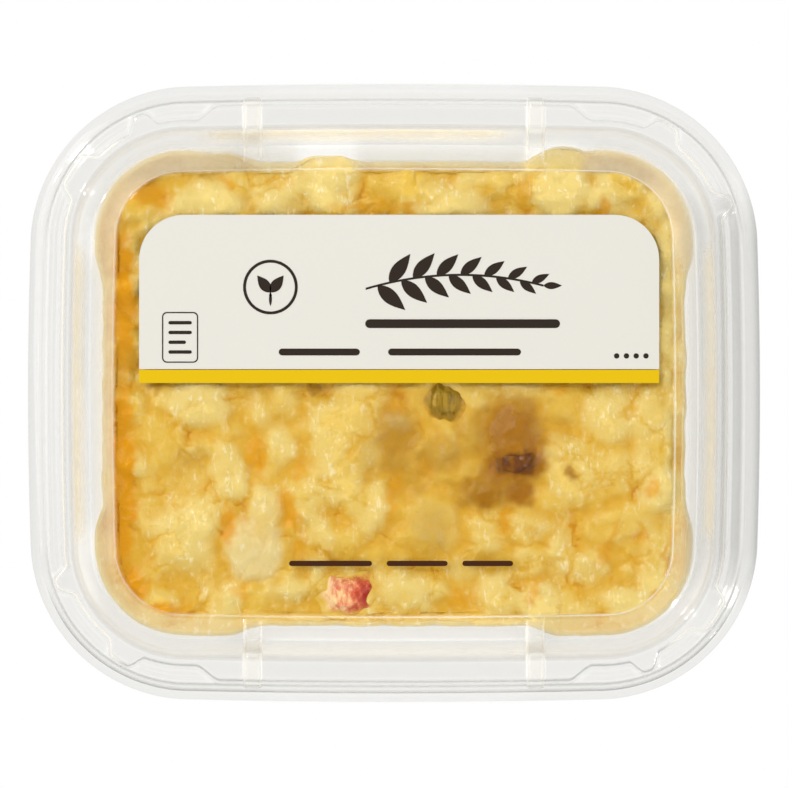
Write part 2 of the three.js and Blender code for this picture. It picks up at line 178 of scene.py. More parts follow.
def corner_frame(inset):
    radius = CORNER_RADIUS - RADIUS_LOSS * inset
    return radius, LENGTH / 2 - BOW - inset - radius, WIDTH / 2 - BOW - inset - radius


def outline(stations, section):
    """The section of each station, an array of insets and heights, as points in space."""
    inset, z = section[..., 0], section[..., 1]
    radius, centre_x, centre_y = corner_frame(inset)
    along, turn = stations.along[:, None], np.radians(stations.turn[:, None])
    kind = stations.kind[:, None]
    short_x = centre_x + radius + BOW * (1 - (along / centre_y) ** 2)
    long_y = centre_y + radius + BOW * (1 - (along / centre_x) ** 2)
    x = np.select([kind == SHORT, kind == CORNER], [short_x, centre_x + radius * np.cos(turn)], along)
    y = np.select([kind == LONG, kind == CORNER], [long_y, centre_y + radius * np.sin(turn)], along)
    return np.stack([x * stations.side_x[:, None], y * stations.side_y[:, None], z], -1)


def inset_at(x, y):
    """How far in from the outline a point of the plan lies."""
    x, y, inset = np.abs(x), np.abs(y), np.zeros_like(x)
    for _ in range(5):
        _, centre_x, centre_y = corner_frame(inset)
        over_x, over_y = x - centre_x, y - centre_y
        turned = (CORNER_RADIUS - np.hypot(over_x, over_y)) / RADIUS_LOSS
        from_x = LENGTH / 2 - BOW * (y / centre_y) ** 2 - x
        from_y = WIDTH / 2 - BOW * (x / centre_x) ** 2 - y
        inset = np.where((over_x > 0) & (over_y > 0), turned, np.minimum(from_x, from_y))
    return inset


# %% [markdown]
# A section is drawn with sharp corners, moved square to itself to get the wall's other face, and
# then each of its corners is rounded. The rounding is what catches the light on real thermoformed
# plastic, so both faces get it.

# %% Offset and rounding of sections
def offset_section(section, distance):
    step = np.diff(section, axis=1) * np.array([-1, 1])
    heading = step / np.linalg.norm(step, axis=2, keepdims=True)
    before = np.concatenate([heading[:, :1], heading], axis=1)
    after = np.concatenate([heading, heading[:, -1:]], axis=1)
    along = before + after
    along /= np.linalg.norm(along, axis=2, keepdims=True)
    reach = distance / np.sum(along * after, axis=2, keepdims=True)
    return section + along[..., ::-1] * reach


def round_section(section, radius, steps=4):
    """Swaps each corner for a short curve that starts a radius before it, where there is room."""
    length = np.linalg.norm(np.diff(section, axis=1), axis=2, keepdims=True)
    heading = np.diff(section, axis=1) / length
    corner = section[:, 1:-1]
    start = corner - heading[:, :-1] * np.minimum(radius, 0.46 * length[:, :-1])
    end = corner + heading[:, 1:] * np.minimum(radius, 0.46 * length[:, 1:])
    share = np.linspace(0, 1, steps + 1)[None, None, :, None]
    curve = (
        (1 - share) ** 2 * start[:, :, None]
        + 2 * share * (1 - share) * corner[:, :, None]
        + share**2 * end[:, :, None]
    )
    curve = curve.reshape(len(section), -1, 2)
    return np.concatenate([section[:, :1], curve, section[:, -1:]], axis=1)


def as_section(points, count):
    """A list of insets and heights, numbers or arrays with one value a station, as an array."""
    rows = [[np.broadcast_to(np.asarray(value, float), (count,)) for value in point] for point in points]
    return np.moveaxis(np.array(rows), 2, 0)


def shell(name, over, under, stations):
    """A closed thin wall between two faces. The first point of each section is its flat middle."""
    lower = np.swapaxes(outline(stations, under[:, 1:]), 0, 1)
    upper = np.swapaxes(outline(stations, over[:, 1:]), 0, 1)[::-1]
    return loft(name, np.concatenate([lower, upper]))


# %% [markdown]
# ## The tub
#
# Real tubs are thermoformed: one sheet drawn into a mould, so one thin wall runs from the lifted
# foot up to the rolled rim and the flange. It could be drawn with Solidify, but a loft of its own
# inner and outer section gives a true wall and keeps the food's side where the CAD has it. The
# middle of each side is pushed in as a grip.

# %% Tub
def grip_depth(stations, z):
    depth = np.zeros(stations.count)
    for kind, (deepest, flat, end) in ((LONG, GRIPS["long"]), (SHORT, GRIPS["short"])):
        across = 1 - smooth_step(flat, end, stations.along)
        depth = np.where(stations.kind == kind, deepest * across, depth)
    return depth * mix(0.4, 1.0, z / SHOULDER)


def food_wall_inset(z):
    foot, top = WALL + 2.5, SHOULDER - 1.2
    return mix(FOOD_WALL_FOOT, FOOD_WALL_TOP + 0.6, (z - foot) / (top - foot))


def tub_section(stations):
    floor = WALL

    def pushed(inset, z):
        return (inset + grip_depth(stations, z), z)

    points = [
        (31, floor + PUSH_UP), (29.5, floor + PUSH_UP), (28.5, floor), (21.6, floor),
        pushed(19.9, floor + 0.7), pushed(FOOD_WALL_FOOT, floor + 2.5),
        pushed(food_wall_inset(SHOULDER - 1.2), SHOULDER - 1.2), pushed(FOOD_WALL_TOP, SHOULDER - 0.4),
        (9.9, SHOULDER), (9.5, SHOULDER + 0.5), (8.7, TUB_RIM - 0.5), (8.2, TUB_RIM),
        (4.8, TUB_RIM), (4.3, TUB_RIM - 0.4), (3.9, SEAT), (0, SEAT),
    ]
    return as_section(points, stations.count)


FINE_TURNS = np.linspace(0, 90, 41)
tub_stations = Stations(np.arange(3, 29.1, 2.0), np.arange(3, 41, 2.0), FINE_TURNS)
tub_inner = tub_section(tub_stations)
tub = shell(
    "tub_shell",
    round_section(tub_inner, 0.6),
    round_section(offset_section(tub_inner, -WALL), 0.6),
    tub_stations,
)
describe(tub)

# %% [markdown]
# ## The lid
#
# The lid's rim stands high, and is cut down to a low ledge in places, so that it looks like a
# castle wall from above. Four low ribs cross the rim beside the label's tails. Ledge and ribs are
# only changes of the section along the outline, so the lid is one loft too.

# %% Lid
def ledge_share(stations):
    share = np.ones(stations.count)
    long_side = smooth_step(LONG_BRIDGE - 2.6, LONG_BRIDGE + 2.6, stations.along)
    share = np.where(stations.kind == LONG, long_side, share)
    for diagonal, bridges in CORNER_BRIDGES.items():
        for first, last in bridges:
            rise = smooth_step(first - BRIDGE_SLOPE, first + BRIDGE_SLOPE, stations.turn)
            fall = 1 - smooth_step(last - BRIDGE_SLOPE, last + BRIDGE_SLOPE, stations.turn)
            here = (stations.kind == CORNER) & (stations.side_x * stations.side_y == diagonal)
            share = np.where(here, share - rise * fall, share)
    return share


def lid_section(stations):
    ledge = ledge_share(stations)
    points = [
        (PANEL_EDGE + 2, PANEL), (PANEL_EDGE, PANEL), (PANEL_EDGE - 0.5, GROOVE), (12.6, GROOVE + 1.1),
        (9.8, HEIGHT - 0.4), (9.2, HEIGHT), (mix(4.4, LEDGE_INNER + 1.1, ledge), HEIGHT),
        (mix(3.9, LEDGE_INNER + 0.6, ledge), HEIGHT - 0.4),
        (mix(LID_WALL + 0.1, LEDGE_INNER, ledge), LEDGE + mix(0.3, 0, ledge)),
        (LID_WALL, LEDGE), (LID_WALL - 0.4, LID_FLANGE), (LID_EDGE, LID_FLANGE),
    ]
    return as_section(points, stations.count)


def lift_ribs(section, stations):
    """Raises a rounded section, square to its face, where a rib crosses it."""
    off_middle = np.abs(stations.along - RIB["middle"])
    inner, outer = RIB["half_width"] - RIB["slope"], RIB["half_width"]
    across = (1 - smooth_step(inner, outer, off_middle)) * (stations.kind == LONG)
    inset = section[..., 0]
    ends = smooth_step(RIB["outer"], RIB["outer"] + 0.8, inset)
    ends = ends * (1 - smooth_step(RIB["inner"] - 1.0, RIB["inner"], inset))
    lifted = offset_section(section, RIB["height"])
    return mix(section, lifted, (across[:, None] * ends)[..., None])


rib_stops = [24, 26, 26.5, 26.9, 27.1, 27.35, 27.6, 28.2, 28.9, 29.6, 30.2, 30.45, 30.7, 30.9, 31.3, 32]
bridge_stops = [33.5, 35, 35.6, 36.3, 37.0, 37.5, 38.0, 38.5, 39.0, 39.7, 40.4, 41.2]
long_stops = list(range(3, 24, 3)) + rib_stops + bridge_stops
lid_stations = Stations(np.arange(3, 29.1, 2.0), long_stops, np.linspace(0, 90, 121))
lid_over = lid_section(lid_stations)
lid = shell(
    "lid_shell",
    lift_ribs(round_section(lid_over, 0.6), lid_stations),
    lift_ribs(round_section(offset_section(lid_over, -WALL), 0.6), lid_stations),
    lid_stations,
)
describe(lid)

# %% [markdown]
# ## The label's film
#
# A clear film lies on the panel. Two tails run from it over the rim, round the edge of the flange
# and down the tub's wall, and they are pulled taut. A taut film bends one way only, so it is a
# grid whose rows follow one section and whose width follows the outline of the label.
#
# Its creases are kept sharp. Over so thin a rim an averaged normal would show as a dark line.

# %% Label film
FILM_CREASE = 50
ON_PANEL = PANEL + 0.02


def film_section():
    def wall_inset(z):
        depth = GRIPS["long"][0] * mix(0.4, 1.0, z / SHOULDER)
        return food_wall_inset(z) + depth - WALL - FILM_GAP

    stick, foot = SEAT - TAIL_STICK, SEAT - TAIL_DROP
    points = [
        (WIDTH / 2, ON_PANEL), (LABEL_MARGIN - FILM_BEND, ON_PANEL),
        (9.2, HEIGHT + FILM_GAP), (4.4, HEIGHT + FILM_GAP), (3.7, HEIGHT - 0.3),
        (-FILM_GAP, SEAT + 0.2), (-FILM_GAP, SEAT - WALL - 0.2),
        (wall_inset(stick), stick), (wall_inset(foot), foot),
    ]
    return as_section(points, 1)


def film_half_width(y):
    half_x, half_y = LENGTH / 2 - LABEL_MARGIN, WIDTH / 2 - LABEL_MARGIN
    radius = CORNER_RADIUS - RADIUS_LOSS * LABEL_MARGIN
    into_corner = np.clip(y - (half_y - radius), 0, radius)
    on_panel = half_x - radius + np.sqrt(radius**2 - into_corner**2)
    into_fillet = np.clip(half_y + TAIL_FILLET - y, 0, TAIL_FILLET)
    on_tail = TAIL_HALF + TAIL_FILLET - np.sqrt(TAIL_FILLET**2 - into_fillet**2)
    return np.where(y < half_y, on_panel, on_tail)


def film_rows(section):
    """Places along the rounded section, by point number, with rows where the outline turns."""
    y = WIDTH / 2 - section[0, :, 0]
    half_y = WIDTH / 2 - LABEL_MARGIN
    radius = CORNER_RADIUS - RADIUS_LOSS * LABEL_MARGIN
    corner = half_y - radius + radius * np.sin(np.radians(np.linspace(0, 80, 12)))
    fillet = half_y + TAIL_FILLET * (1 - np.cos(np.radians(np.linspace(15, 90, 6))))
    stops = [*np.linspace(0, half_y - radius, 8), *corner, half_y - 0.01, half_y + 0.01, *fillet]
    rising = np.arange(np.argmax(y))
    places = np.interp(stops, y[rising], rising)
    return np.unique(np.concatenate([places, np.arange(len(y))]))


def thick_grid(name, upper, lower):
    """A closed sheet between two grids of points of the same shape."""
    rows, columns = upper.shape[:2]
    index = np.arange(rows * columns).reshape(rows, columns)
    quads = np.stack([index[:-1, :-1], index[:-1, 1:], index[1:, 1:], index[1:, :-1]], -1)
    top = quads.reshape(-1, 4)
    bottom = top[:, ::-1] + rows * columns
    rim = [*index[0, :], *index[1:, -1], *index[-1, -2::-1], *index[-2:0:-1, 0]]
    sides = [
        (rim[step], rim[step - 1], rim[step - 1] + rows * columns, rim[step] + rows * columns)
        for step in range(len(rim))
    ]
    points = np.concatenate([upper.reshape(-1, 3), lower.reshape(-1, 3)])
    faces = top.tolist() + bottom.tolist() + [tuple(int(v) for v in face) for face in sides]
    return new_object(name, points, faces)


def film_grid(section, places, columns=24):
    numbers = np.arange(section.shape[1])
    y = np.interp(places, numbers, WIDTH / 2 - section[0, :, 0])
    z = np.interp(places, numbers, section[0, :, 1])
    half = np.where(places > np.argmax(WIDTH / 2 - section[0, :, 0]), TAIL_HALF, film_half_width(y))
    half = np.concatenate([half[:0:-1], half])
    y = np.concatenate([-y[:0:-1], y])
    z = np.concatenate([z[:0:-1], z])
    x = half[:, None] * np.linspace(-1, 1, columns + 1)[None, :]
    return np.stack([x, np.broadcast_to(y[:, None], x.shape), np.broadcast_to(z[:, None], x.shape)], -1)


film_under = film_section()
film_over = round_section(offset_section(film_under, FILM), 0.9, 5)
film_under = round_section(film_under, 0.9, 5)
film_places = film_rows(film_under)
film = thick_grid("film_sheet", film_grid(film_over, film_places), film_grid(film_under, film_places))
film.data.set_sharp_from_angle(angle=math.radians(FILM_CREASE))
describe(film)

# %% [markdown]
# ## The salad
#
# The real salad is diced potato and vegetables in a thick mustard dressing, pressed into the tub.
# The dressing covers everything like a skin. So the lumps are made first, as plain balls and
# blocks, and then a fine skin that fills the tub is drawn in over them along its normals, with a
# Raycast in Geometry Nodes, and smoothed as the dressing smooths it. What the ray meets also
# gives the skin its tone: how pale, how much bare potato, and how deep in a crevice.
#
# A lump's row: middle x and y, half width, half depth, turn in degrees, how far its top stands
# above the lid's underside (it is then pressed flat) or below it, how pale, how bare.

# %% Lumps that show through the lid, in millimetres
TOP_LUMPS = [
    (-40.4, -2.5, 5.5, 4.5, 0, 0.6, 0.9, 0), (-46.9, -1.4, 3.3, 3.7, 0, -0.8, 0.3, 0),
    (-47.9, -9.6, 4.9, 7.0, 20, -0.5, 0.25, 0), (-33.8, -16.6, 3.3, 5.5, 5, -0.0, 0.7, 0),
    (-43.2, -28.5, 6.6, 9.0, -10, 0.9, 0.68, 0), (-50.0, -22.9, 3.7, 6.1, 0, -0.9, 0.4, 0),
    (-49.6, -37.9, 4.9, 4.5, 0, -1.4, 0.1, 0), (-28.7, -32.4, 5.3, 6.1, 0, 0.5, 0.5, 1),
    (-26.8, -24.4, 3.3, 4.9, -12, 0.2, 0.6, 0.6), (-20.9, -34.4, 4.9, 3.9, 0, -0.5, 0.3, 0),
    (-23.6, -10.9, 2.9, 3.9, 0, -0.1, 0.8, 0), (-27.0, -4.1, 4.9, 4.1, 0, -0.6, 0.5, 0),
    (-34.6, -6.6, 3.7, 2.9, 0, -0.7, 0.4, 0), (-22.3, -1.4, 2.9, 4.1, 0, -0.5, 0.4, 0.1),
    (-10.0, -9.6, 7.8, 9.4, 15, 0.7, 0.5, 0), (-7.0, -0.4, 6.1, 3.3, 0, -0.1, 0.5, 0),
    (-17.6, -21.3, 5.3, 5.3, 0, 0.2, 0.55, 0), (-9.0, -20.9, 6.1, 4.9, 0, 0.5, 0.6, 0),
    (-4.7, -22.9, 3.3, 5.3, 0, 0.2, 0.8, 0), (-14.8, -29.3, 4.1, 4.1, 0, -0.3, 0.8, 0),
    (-9.0, -30.5, 4.9, 3.7, 0, -0.6, 0.4, 0), (-25.4, -40.8, 2.9, 2.5, 0, -0.5, 0.7, 0),
    (-20.1, -40.0, 3.3, 2.7, 0, -0.3, 0.75, 0), (-15.6, -36.7, 2.5, 3.1, 0, -0.4, 0.6, 0),
    (-33.2, -42.0, 1.8, 3.3, 0, -0.1, 1, 0), (-39.8, -42.4, 5.3, 3.3, 0, -1.0, 0.3, 0),
    (0.0, -40.4, 3.7, 4.1, 0, -0.2, 0.7, 0), (-3.3, -33.2, 4.1, 2.9, 0, -0.7, 0.4, 0),
    (-1.2, -9.6, 3.7, 7.8, 10, -1.1, 0, 0), (2.9, -2.5, 3.7, 4.5, 0, -1.1, 0, 0),
    (2.3, -15.8, 4.5, 5.3, 0, -1.3, 0, 0), (9.4, -11.7, 5.7, 4.9, 0, -0.6, 0.1, 0),
    (10.4, -18.2, 4.5, 3.3, 0, -0.8, 0.15, 0), (17.2, -7.6, 3.7, 4.9, 0, -0.7, 0.1, 0),
    (7.6, -26.6, 5.1, 5.7, 0, 0.3, -0.3, 0.5), (1.2, -26.4, 3.7, 5.3, 0, -0.7, 0.2, 0.2),
    (18.2, -0.8, 3.7, 2.9, 0, -0.3, 0.5, 0), (25.8, 0.0, 4.5, 2.5, 0, -0.2, 0.6, 0),
    (34.0, -2.5, 5.3, 4.9, 0, -0.5, 0.35, 0), (44.3, -5.5, 7.0, 7.0, 0, 0.5, 0.65, 0),
    (52.5, -6.6, 4.5, 8.2, 0, 0.3, 0.6, 0), (39.1, -15.4, 9.4, 6.8, -15, 0.8, 0.55, 0),
    (52.2, -15.0, 4.1, 3.3, 0, 0.0, 0.7, 0), (48.4, -26.6, 6.1, 6.1, -40, -0.1, 0.45, 0.3),
    (53.5, -34.2, 3.7, 7.4, 0, -0.1, 0.6, 0), (52.5, -21.5, 3.7, 2.5, 0, -1.6, 0, 0),
    (40.2, -35.2, 3.7, 4.9, 0, -0.3, 0.6, 0), (34.0, -32.8, 3.1, 3.7, 0, -0.3, 0.65, 0),
    (27.9, -27.0, 4.9, 3.5, 0, -0.0, 0.3, 0.5), (26.8, -34.2, 3.3, 3.7, 0, -0.5, 0.6, 0),
    (21.3, -40.8, 4.1, 4.5, 0, -0.1, 0.85, 0), (19.1, -28.5, 4.9, 4.5, 0, -0.2, 0.6, 0),
    (36.1, -42.4, 3.3, 3.3, 0, -0.5, 0.4, 0.3), (4.3, -41.4, 4.1, 4.1, 0, -0.2, 0.85, 0),
    (12.5, -42.4, 3.3, 2.9, 0, -1.3, 0.2, 0), (45.3, -42.8, 4.9, 4.1, 0, -0.5, 0.4, 0),
    (29.9, -40.8, 2.5, 3.7, 20, -1.0, 0.3, 0), (52.5, -43.4, 3.7, 4.1, 0, -1.1, 0.3, 0),
    (24.8, -9.0, 5.5, 6.6, 0, -0.0, 0.0, 0), (21.7, -20.7, 7.0, 3.1, 0, -0.4, 0, 0),
    (25.4, -16.2, 4.9, 3.1, 0, -0.3, 0, 0), (-54.1, -5.5, 2.5, 5.3, 0, -1.9, 0.1, 0),
    (-54.5, -15.8, 2.0, 4.5, 0, -2.2, 0.0, 0), (-38.7, -11.5, 2.9, 2.5, 0, -0.9, 0.3, 0),
    (34.0, -21.9, 4.1, 2.9, 0, -0.3, 0.5, 0), (-38.7, 38.5, 7.4, 4.9, 0, 0.4, 1.0, 0),
    (-23.4, 41.2, 7.0, 5.5, 0, 0.2, 0.75, 0), (-13.1, 43.6, 5.3, 6.6, 0, 0.7, 1.0, 0),
    (-1.2, 40.4, 4.9, 4.9, 0, -0.7, 0.3, 0), (6.4, 40.6, 5.3, 4.9, 0, 0.0, 0.75, 0),
    (11.5, 38.3, 6.6, 3.9, 0, 0.3, 0.9, 0), (17.6, 42.8, 3.3, 3.1, 0, -0.1, 1.0, 0),
    (25.2, 40.0, 3.9, 4.5, 0, -0.9, 0.3, 0), (33.4, 42.8, 4.9, 7.6, 0, 1.0, 1, 0),
    (40.4, 39.5, 2.0, 2.9, 0, -0.2, 0.75, 0), (45.7, 40.8, 3.7, 5.1, 0, 0.1, 0.95, 0),
    (52.9, 37.1, 4.1, 4.9, 0, -0.6, 0.5, 0), (-47.9, 34.6, 4.1, 2.9, 0, -0.4, 0.75, 0),
    (-53.3, 41.6, 3.7, 3.3, 0, -1.9, 0.15, 0), (-29.5, 45.3, 3.3, 2.0, 0, -1.1, 0.35, 0),
    (-0.8, 45.3, 5.3, 1.8, 0, -1.2, 0.35, 0), (9.4, 45.3, 4.9, 1.8, 0, -1.0, 0.45, 0),
    (23.8, 45.3, 4.5, 1.8, 0, -1.2, 0.35, 0), (50.4, 44.7, 3.7, 2.5, 30, -1.6, 0.35, 0),
    (42.2, 46.5, 4.1, 1.8, 0, -1.5, 0.45, 0), (-55.1, 32.4, 2.7, 5.1, 0, -0.6, 0.5, 0),
    (-54.5, 21.1, 2.5, 5.7, 0, -0.9, 0.3, 0), (-54.5, 10.4, 2.5, 4.9, 0, -1.2, 0.1, 0),
    (56.1, 30.3, 3.1, 4.1, 0, -0.4, 0.85, 0), (56.1, 22.5, 2.9, 3.7, 0, -0.3, 0.9, 0),
    (56.1, 15.4, 3.1, 4.1, 0, -0.7, 0.65, 0), (56.1, 7.6, 3.1, 4.1, 0, -0.4, 0.85, 0),
    (57.8, -1.4, 2.0, 4.1, 0, -0.9, 0.3, 0), (57.8, -11.7, 2.0, 4.9, 0, -1.2, 0.3, 0),
    (57.8, -26.0, 2.0, 5.3, 0, -1.1, 0.3, 0), (57.8, -38.3, 2.0, 4.9, 0, -1.3, 0.3, 0),
    (-39.8, -46.9, 5.3, 1.6, 0, -1.5, 0.2, 0), (-27.0, -46.5, 4.5, 1.8, 0, -1.2, 0.4, 0),
    (-16.8, -46.5, 4.5, 1.8, 0, -1.2, 0.4, 0), (-5.7, -46.5, 4.5, 1.8, 0, -1.3, 0.3, 0),
    (4.3, -46.7, 4.5, 1.8, 0, -1.1, 0.5, 0), (13.9, -46.7, 4.1, 1.8, 0, -1.3, 0.4, 0),
    (23.4, -46.5, 4.5, 1.8, 0, -1.1, 0.6, 0), (34.0, -46.9, 4.9, 1.8, 0, -1.3, 0.4, 0),
    (45.3, -47.7, 5.3, 1.8, 0, -1.5, 0.3, 0),
]
print(len(TOP_LUMPS), "lumps show through the lid")

# %% [markdown]
# The rest of the salad is filled with lumps on loose rows: a layer under the lid, larger ones
# under the label's field, rings along the walls, and the floor. The random numbers start from a
# fixed seed.

# %% All the lumps as one mesh
CONTACT = PANEL - WALL
SEED = 20417
SWELL = 1.32
WALL_ROWS = (5.5, 13.0, 20.5, 28.0, 35.5, 43.0)
WALL_SPACING = 8.6


def unit_ball(subdivisions):
    made = bmesh.new()
    bmesh.ops.create_icosphere(made, subdivisions=subdivisions, radius=1)
    points = np.array([vertex.co for vertex in made.verts])
    faces = np.array([[vertex.index for vertex in face.verts] for face in made.faces])
    made.free()
    return points, faces


def uneven(points, seed, strength):
    """Moves points of a unit ball in and out, by a slow noise that differs for each seed."""
    shift = Vector((17.3 * seed, 5.1 * seed, 9.7 * seed))
    moves = [noise.noise(Vector(point) * 1.3 + shift) for point in points.tolist()]
    return points * (1 + strength * np.array(moves))[:, None]


def toward_block(points, boxiness):
    """Pulls a unit ball out towards a block with soft edges."""
    power = 5
    size = np.sum(np.abs(points) ** power, axis=1) ** (1 / power)
    return points * mix(1, 0.86 / size, boxiness)[:, None]


def turned(points, turn, tilt):
    c, s = math.cos(turn), math.sin(turn)
    flat_turned = points @ np.array([[c, s, 0], [-s, c, 0], [0, 0, 1]])
    c, s = math.cos(tilt), math.sin(tilt)
    return flat_turned @ np.array([[c, 0, s], [0, 1, 0], [-s, 0, c]])


class Heap:
    """Lumps for one mesh, each with its tone: how pale it is, and how much bare potato it shows."""

    def __init__(self):
        self.dice = random.Random(SEED)
        self.fine, self.coarse = unit_ball(4), unit_ball(3)
        self.points, self.faces, self.tones = [], [], []

    def add(self, ball, middle, half, turn, tilt, boxiness, pale, bare):
        shape = toward_block(uneven(ball[0], len(self.points) + 1, 0.22), boxiness)
        shape = turned(shape * np.array(half), turn, tilt) + np.array(middle)
        self.faces.append(ball[1] + sum(len(part) for part in self.points))
        self.points.append(shape)
        self.tones.append(np.tile([pale, bare, 0.0], (len(shape), 1)))


def lumps_that_show(heap):
    for x, y, half_x, half_y, turn, rise, pale, bare in TOP_LUMPS:
        height = min(max(0.8 * min(half_x, half_y), 2.6), 6.0)
        half = (SWELL * half_x, SWELL * half_y, height)
        boxiness = 0.55 if bare > 0.5 else 0.15
        middle = (x, y, CONTACT + rise - height)
        heap.add(heap.fine, middle, half, math.radians(turn), 0, boxiness, pale, bare)


def layer_under_lid(heap):
    dice = heap.dice
    for x in np.arange(-57, 58, 5.8):
        for y in np.arange(-47, 48, 5.8):
            spot = (x + dice.uniform(-2.2, 2.2), y + dice.uniform(-2.2, 2.2))
            size, sink = dice.uniform(3.2, 5.4), dice.uniform(0.6, 1.5)
            half = (size, size * dice.uniform(0.7, 1.1), size * 0.8)
            heap.add(heap.coarse, (*spot, CONTACT - sink - size * 0.8), half, dice.uniform(0, 6), 0,
                     dice.uniform(0, 0.5), dice.uniform(0.25, 0.8), 0)


def lumps_under_field(heap):
    dice = heap.dice
    for x in np.arange(-50, 52, 9.5):
        for y in (9, 17.5, 26, 34):
            size = dice.uniform(4.6, 6.4)
            spot = (x + dice.uniform(-2, 2), y + dice.uniform(-2, 2))
            middle = (*spot, CONTACT - size + dice.uniform(-0.8, 0.5))
            half = (size, size * dice.uniform(0.8, 1.1), size)
            heap.add(heap.coarse, middle, half, dice.uniform(0, 6), 0,
                     dice.uniform(0, 0.4), dice.uniform(0.2, 0.8), 0)


def lumps_along_wall(heap):
    dice = heap.dice
    wall = Stations(np.arange(3, 29.1, 3.0), np.arange(3, 41, 3.0), np.linspace(0, 90, 13))
    for row, z in enumerate(WALL_ROWS):
        inset = food_wall_inset(min(z, 42)) + grip_depth(wall, z) + 4.6
        ring = outline(wall, np.stack([inset, np.full_like(inset, z)], -1)[:, None])[:, 0]
        steps = np.linalg.norm(np.roll(ring, -1, axis=0) - ring, axis=1)
        along = np.concatenate([[0], np.cumsum(steps)])
        closed = np.concatenate([ring, ring[:1]])
        count = int(along[-1] / WALL_SPACING)
        for number in range(count):
            share = (number + 0.5 * (row % 2) + dice.uniform(-0.25, 0.25)) / count % 1
            middle = [np.interp(share * along[-1], along, closed[:, axis]) for axis in range(3)]
            middle[2] += dice.uniform(-1.5, 1.5)
            size = dice.uniform(4.6, 6.4)
            bare = 1.0 if z < 38 and dice.random() < 0.16 else 0.0
            half = (size, size * dice.uniform(0.75, 1.0), size * dice.uniform(0.8, 1.1))
            heap.add(heap.coarse, middle, half, dice.uniform(0, 6), dice.uniform(-0.6, 0.6),
                     0.2 + 0.5 * bare, dice.uniform(0.1, 0.9), bare)


def lumps_on_floor(heap):
    dice = heap.dice
    for x in np.arange(-50, 52, 9.0):
        for y in np.arange(-38, 40, 9.0):
            size = dice.uniform(4.8, 6.2)
            spot = (x + dice.uniform(-2, 2), y + dice.uniform(-2, 2))
            middle = (*spot, WALL + size - dice.uniform(0, 0.8))
            heap.add(heap.coarse, middle, (size, size, size), dice.uniform(0, 6), 0, 0.3,
                     dice.uniform(0.1, 0.9), 0)


def make_lumps():
    heap = Heap()
    for fill in (lumps_that_show, layer_under_lid, lumps_under_field, lumps_along_wall, lumps_on_floor):
        fill(heap)
    made = new_object("salad_lumps", np.concatenate(heap.points), np.concatenate(heap.faces).tolist())
    store(made, "tone", "FLOAT_VECTOR", np.concatenate(heap.tones))
    print(len(heap.points), "lumps in all")
    return made


lumps = make_lumps()

# %% [markdown]
# The skin starts as the room that the food fills. It reaches a tenth of a millimetre into the
# plastic, because an air gap would show as a bright film between the food and the wall. Voxel
# Remesh gives it even faces, and the part under the lid is cut finer, since it is seen closest.

# %% The skin before it is wrapped
INTO_WALL = 0.12
SKIN_VOXEL = 0.95
# The lid's underside, as insets and heights.
UNDER_LID = [(12.0, 49.2), (12.6, 49.2), (17.1, 48.1), (17.6, 48.5), (70, 48.5)]
# Where the two lumps on the back shoulder lie along the side.
SHOULDER_LUMPS = (-14.0, 33.0)


def level(inset, table):
    """A value read from a list of insets and values."""
    return np.interp(inset, *zip(*table))


def short_of_wall(stations):
    """At the back the food stops short of the wall, but two lumps lie out on the shoulder."""
    x = stations.along * stations.side_x
    back = (stations.kind == LONG) & (stations.side_y > 0)
    short = 1.2 * (1 - smooth_step(26, 33, np.abs(x)))
    for middle in SHOULDER_LUMPS:
        short = mix(short, -1.2, 1 - smooth_step(3.0, 8.0, np.abs(x - middle)))
    return np.where(back, short, 0)


def food_room():
    stations = Stations(np.arange(3, 29.1, 2.0), np.arange(3, 41, 2.0), np.linspace(0, 90, 31))
    wall = offset_section(tub_section(stations), -INTO_WALL)[:, 1:8]
    rim = wall[:, -1:, 0] + short_of_wall(stations)[:, None]
    top = np.stack([rim, np.full_like(rim, CONTACT)], -1)
    inward = np.stack([rim + 6.0, np.full_like(rim, CONTACT)], -1)
    section = np.concatenate([wall, top, inward], axis=1)
    rings = np.swapaxes(outline(stations, round_section(section, 1.2)), 0, 1)
    return loft("salad_skin", rings)


def evaluated_mesh(made):
    depsgraph = bpy.context.evaluated_depsgraph_get()
    return bpy.data.meshes.new_from_object(made.evaluated_get(depsgraph))


def remeshed(made, voxel):
    remesh = made.modifiers.new("even faces", "REMESH")
    remesh.mode = "VOXEL"
    remesh.voxel_size = voxel * MM
    mesh = evaluated_mesh(made)
    made.modifiers.remove(remesh)
    made.data = mesh
    return made


def finer_on_top(made):
    shape = bmesh.new()
    shape.from_mesh(made.data)
    top = [face for face in shape.faces if face.calc_center_median().z > (CONTACT - 2.5) * MM]
    edges = {edge for face in top for edge in face.edges}
    bmesh.ops.subdivide_edges(shape, edges=list(edges), cuts=1, use_grid_fill=True)
    shape.to_mesh(made.data)
    shape.free()


def press_under_lid(made):
    points = points_of(made)
    limit = level(inset_at(points[:, 0], points[:, 1]), UNDER_LID) + INTO_WALL
    high = points[:, 2] > CONTACT - 1.2
    points[high, 2] += (limit - CONTACT)[high] * smooth_step(CONTACT - 1.2, CONTACT, points[high, 2])
    made.data.vertices.foreach_set("co", (points * MM).ravel())
    made.data.update()


def mark_contact(made):
    """How far the skin may sink at each point: little where lid and wall meet, but more at the back."""
    points = points_of(made)
    inset = inset_at(points[:, 0], points[:, 1])
    near_top = smooth_step(CONTACT - 5, CONTACT - 2, points[:, 2])
    edge = near_top * (1 - smooth_step(13.8, 16.8, inset))
    back = smooth_step(30, 40, points[:, 1]) * (1 - smooth_step(36, 44, np.abs(points[:, 0])))
    store(made, "free", "FLOAT", 1 - edge * mix(0.9, 0.6, back))


skin = remeshed(food_room(), SKIN_VOXEL)
finer_on_top(skin)
press_under_lid(skin)
mark_contact(skin)
describe(skin)

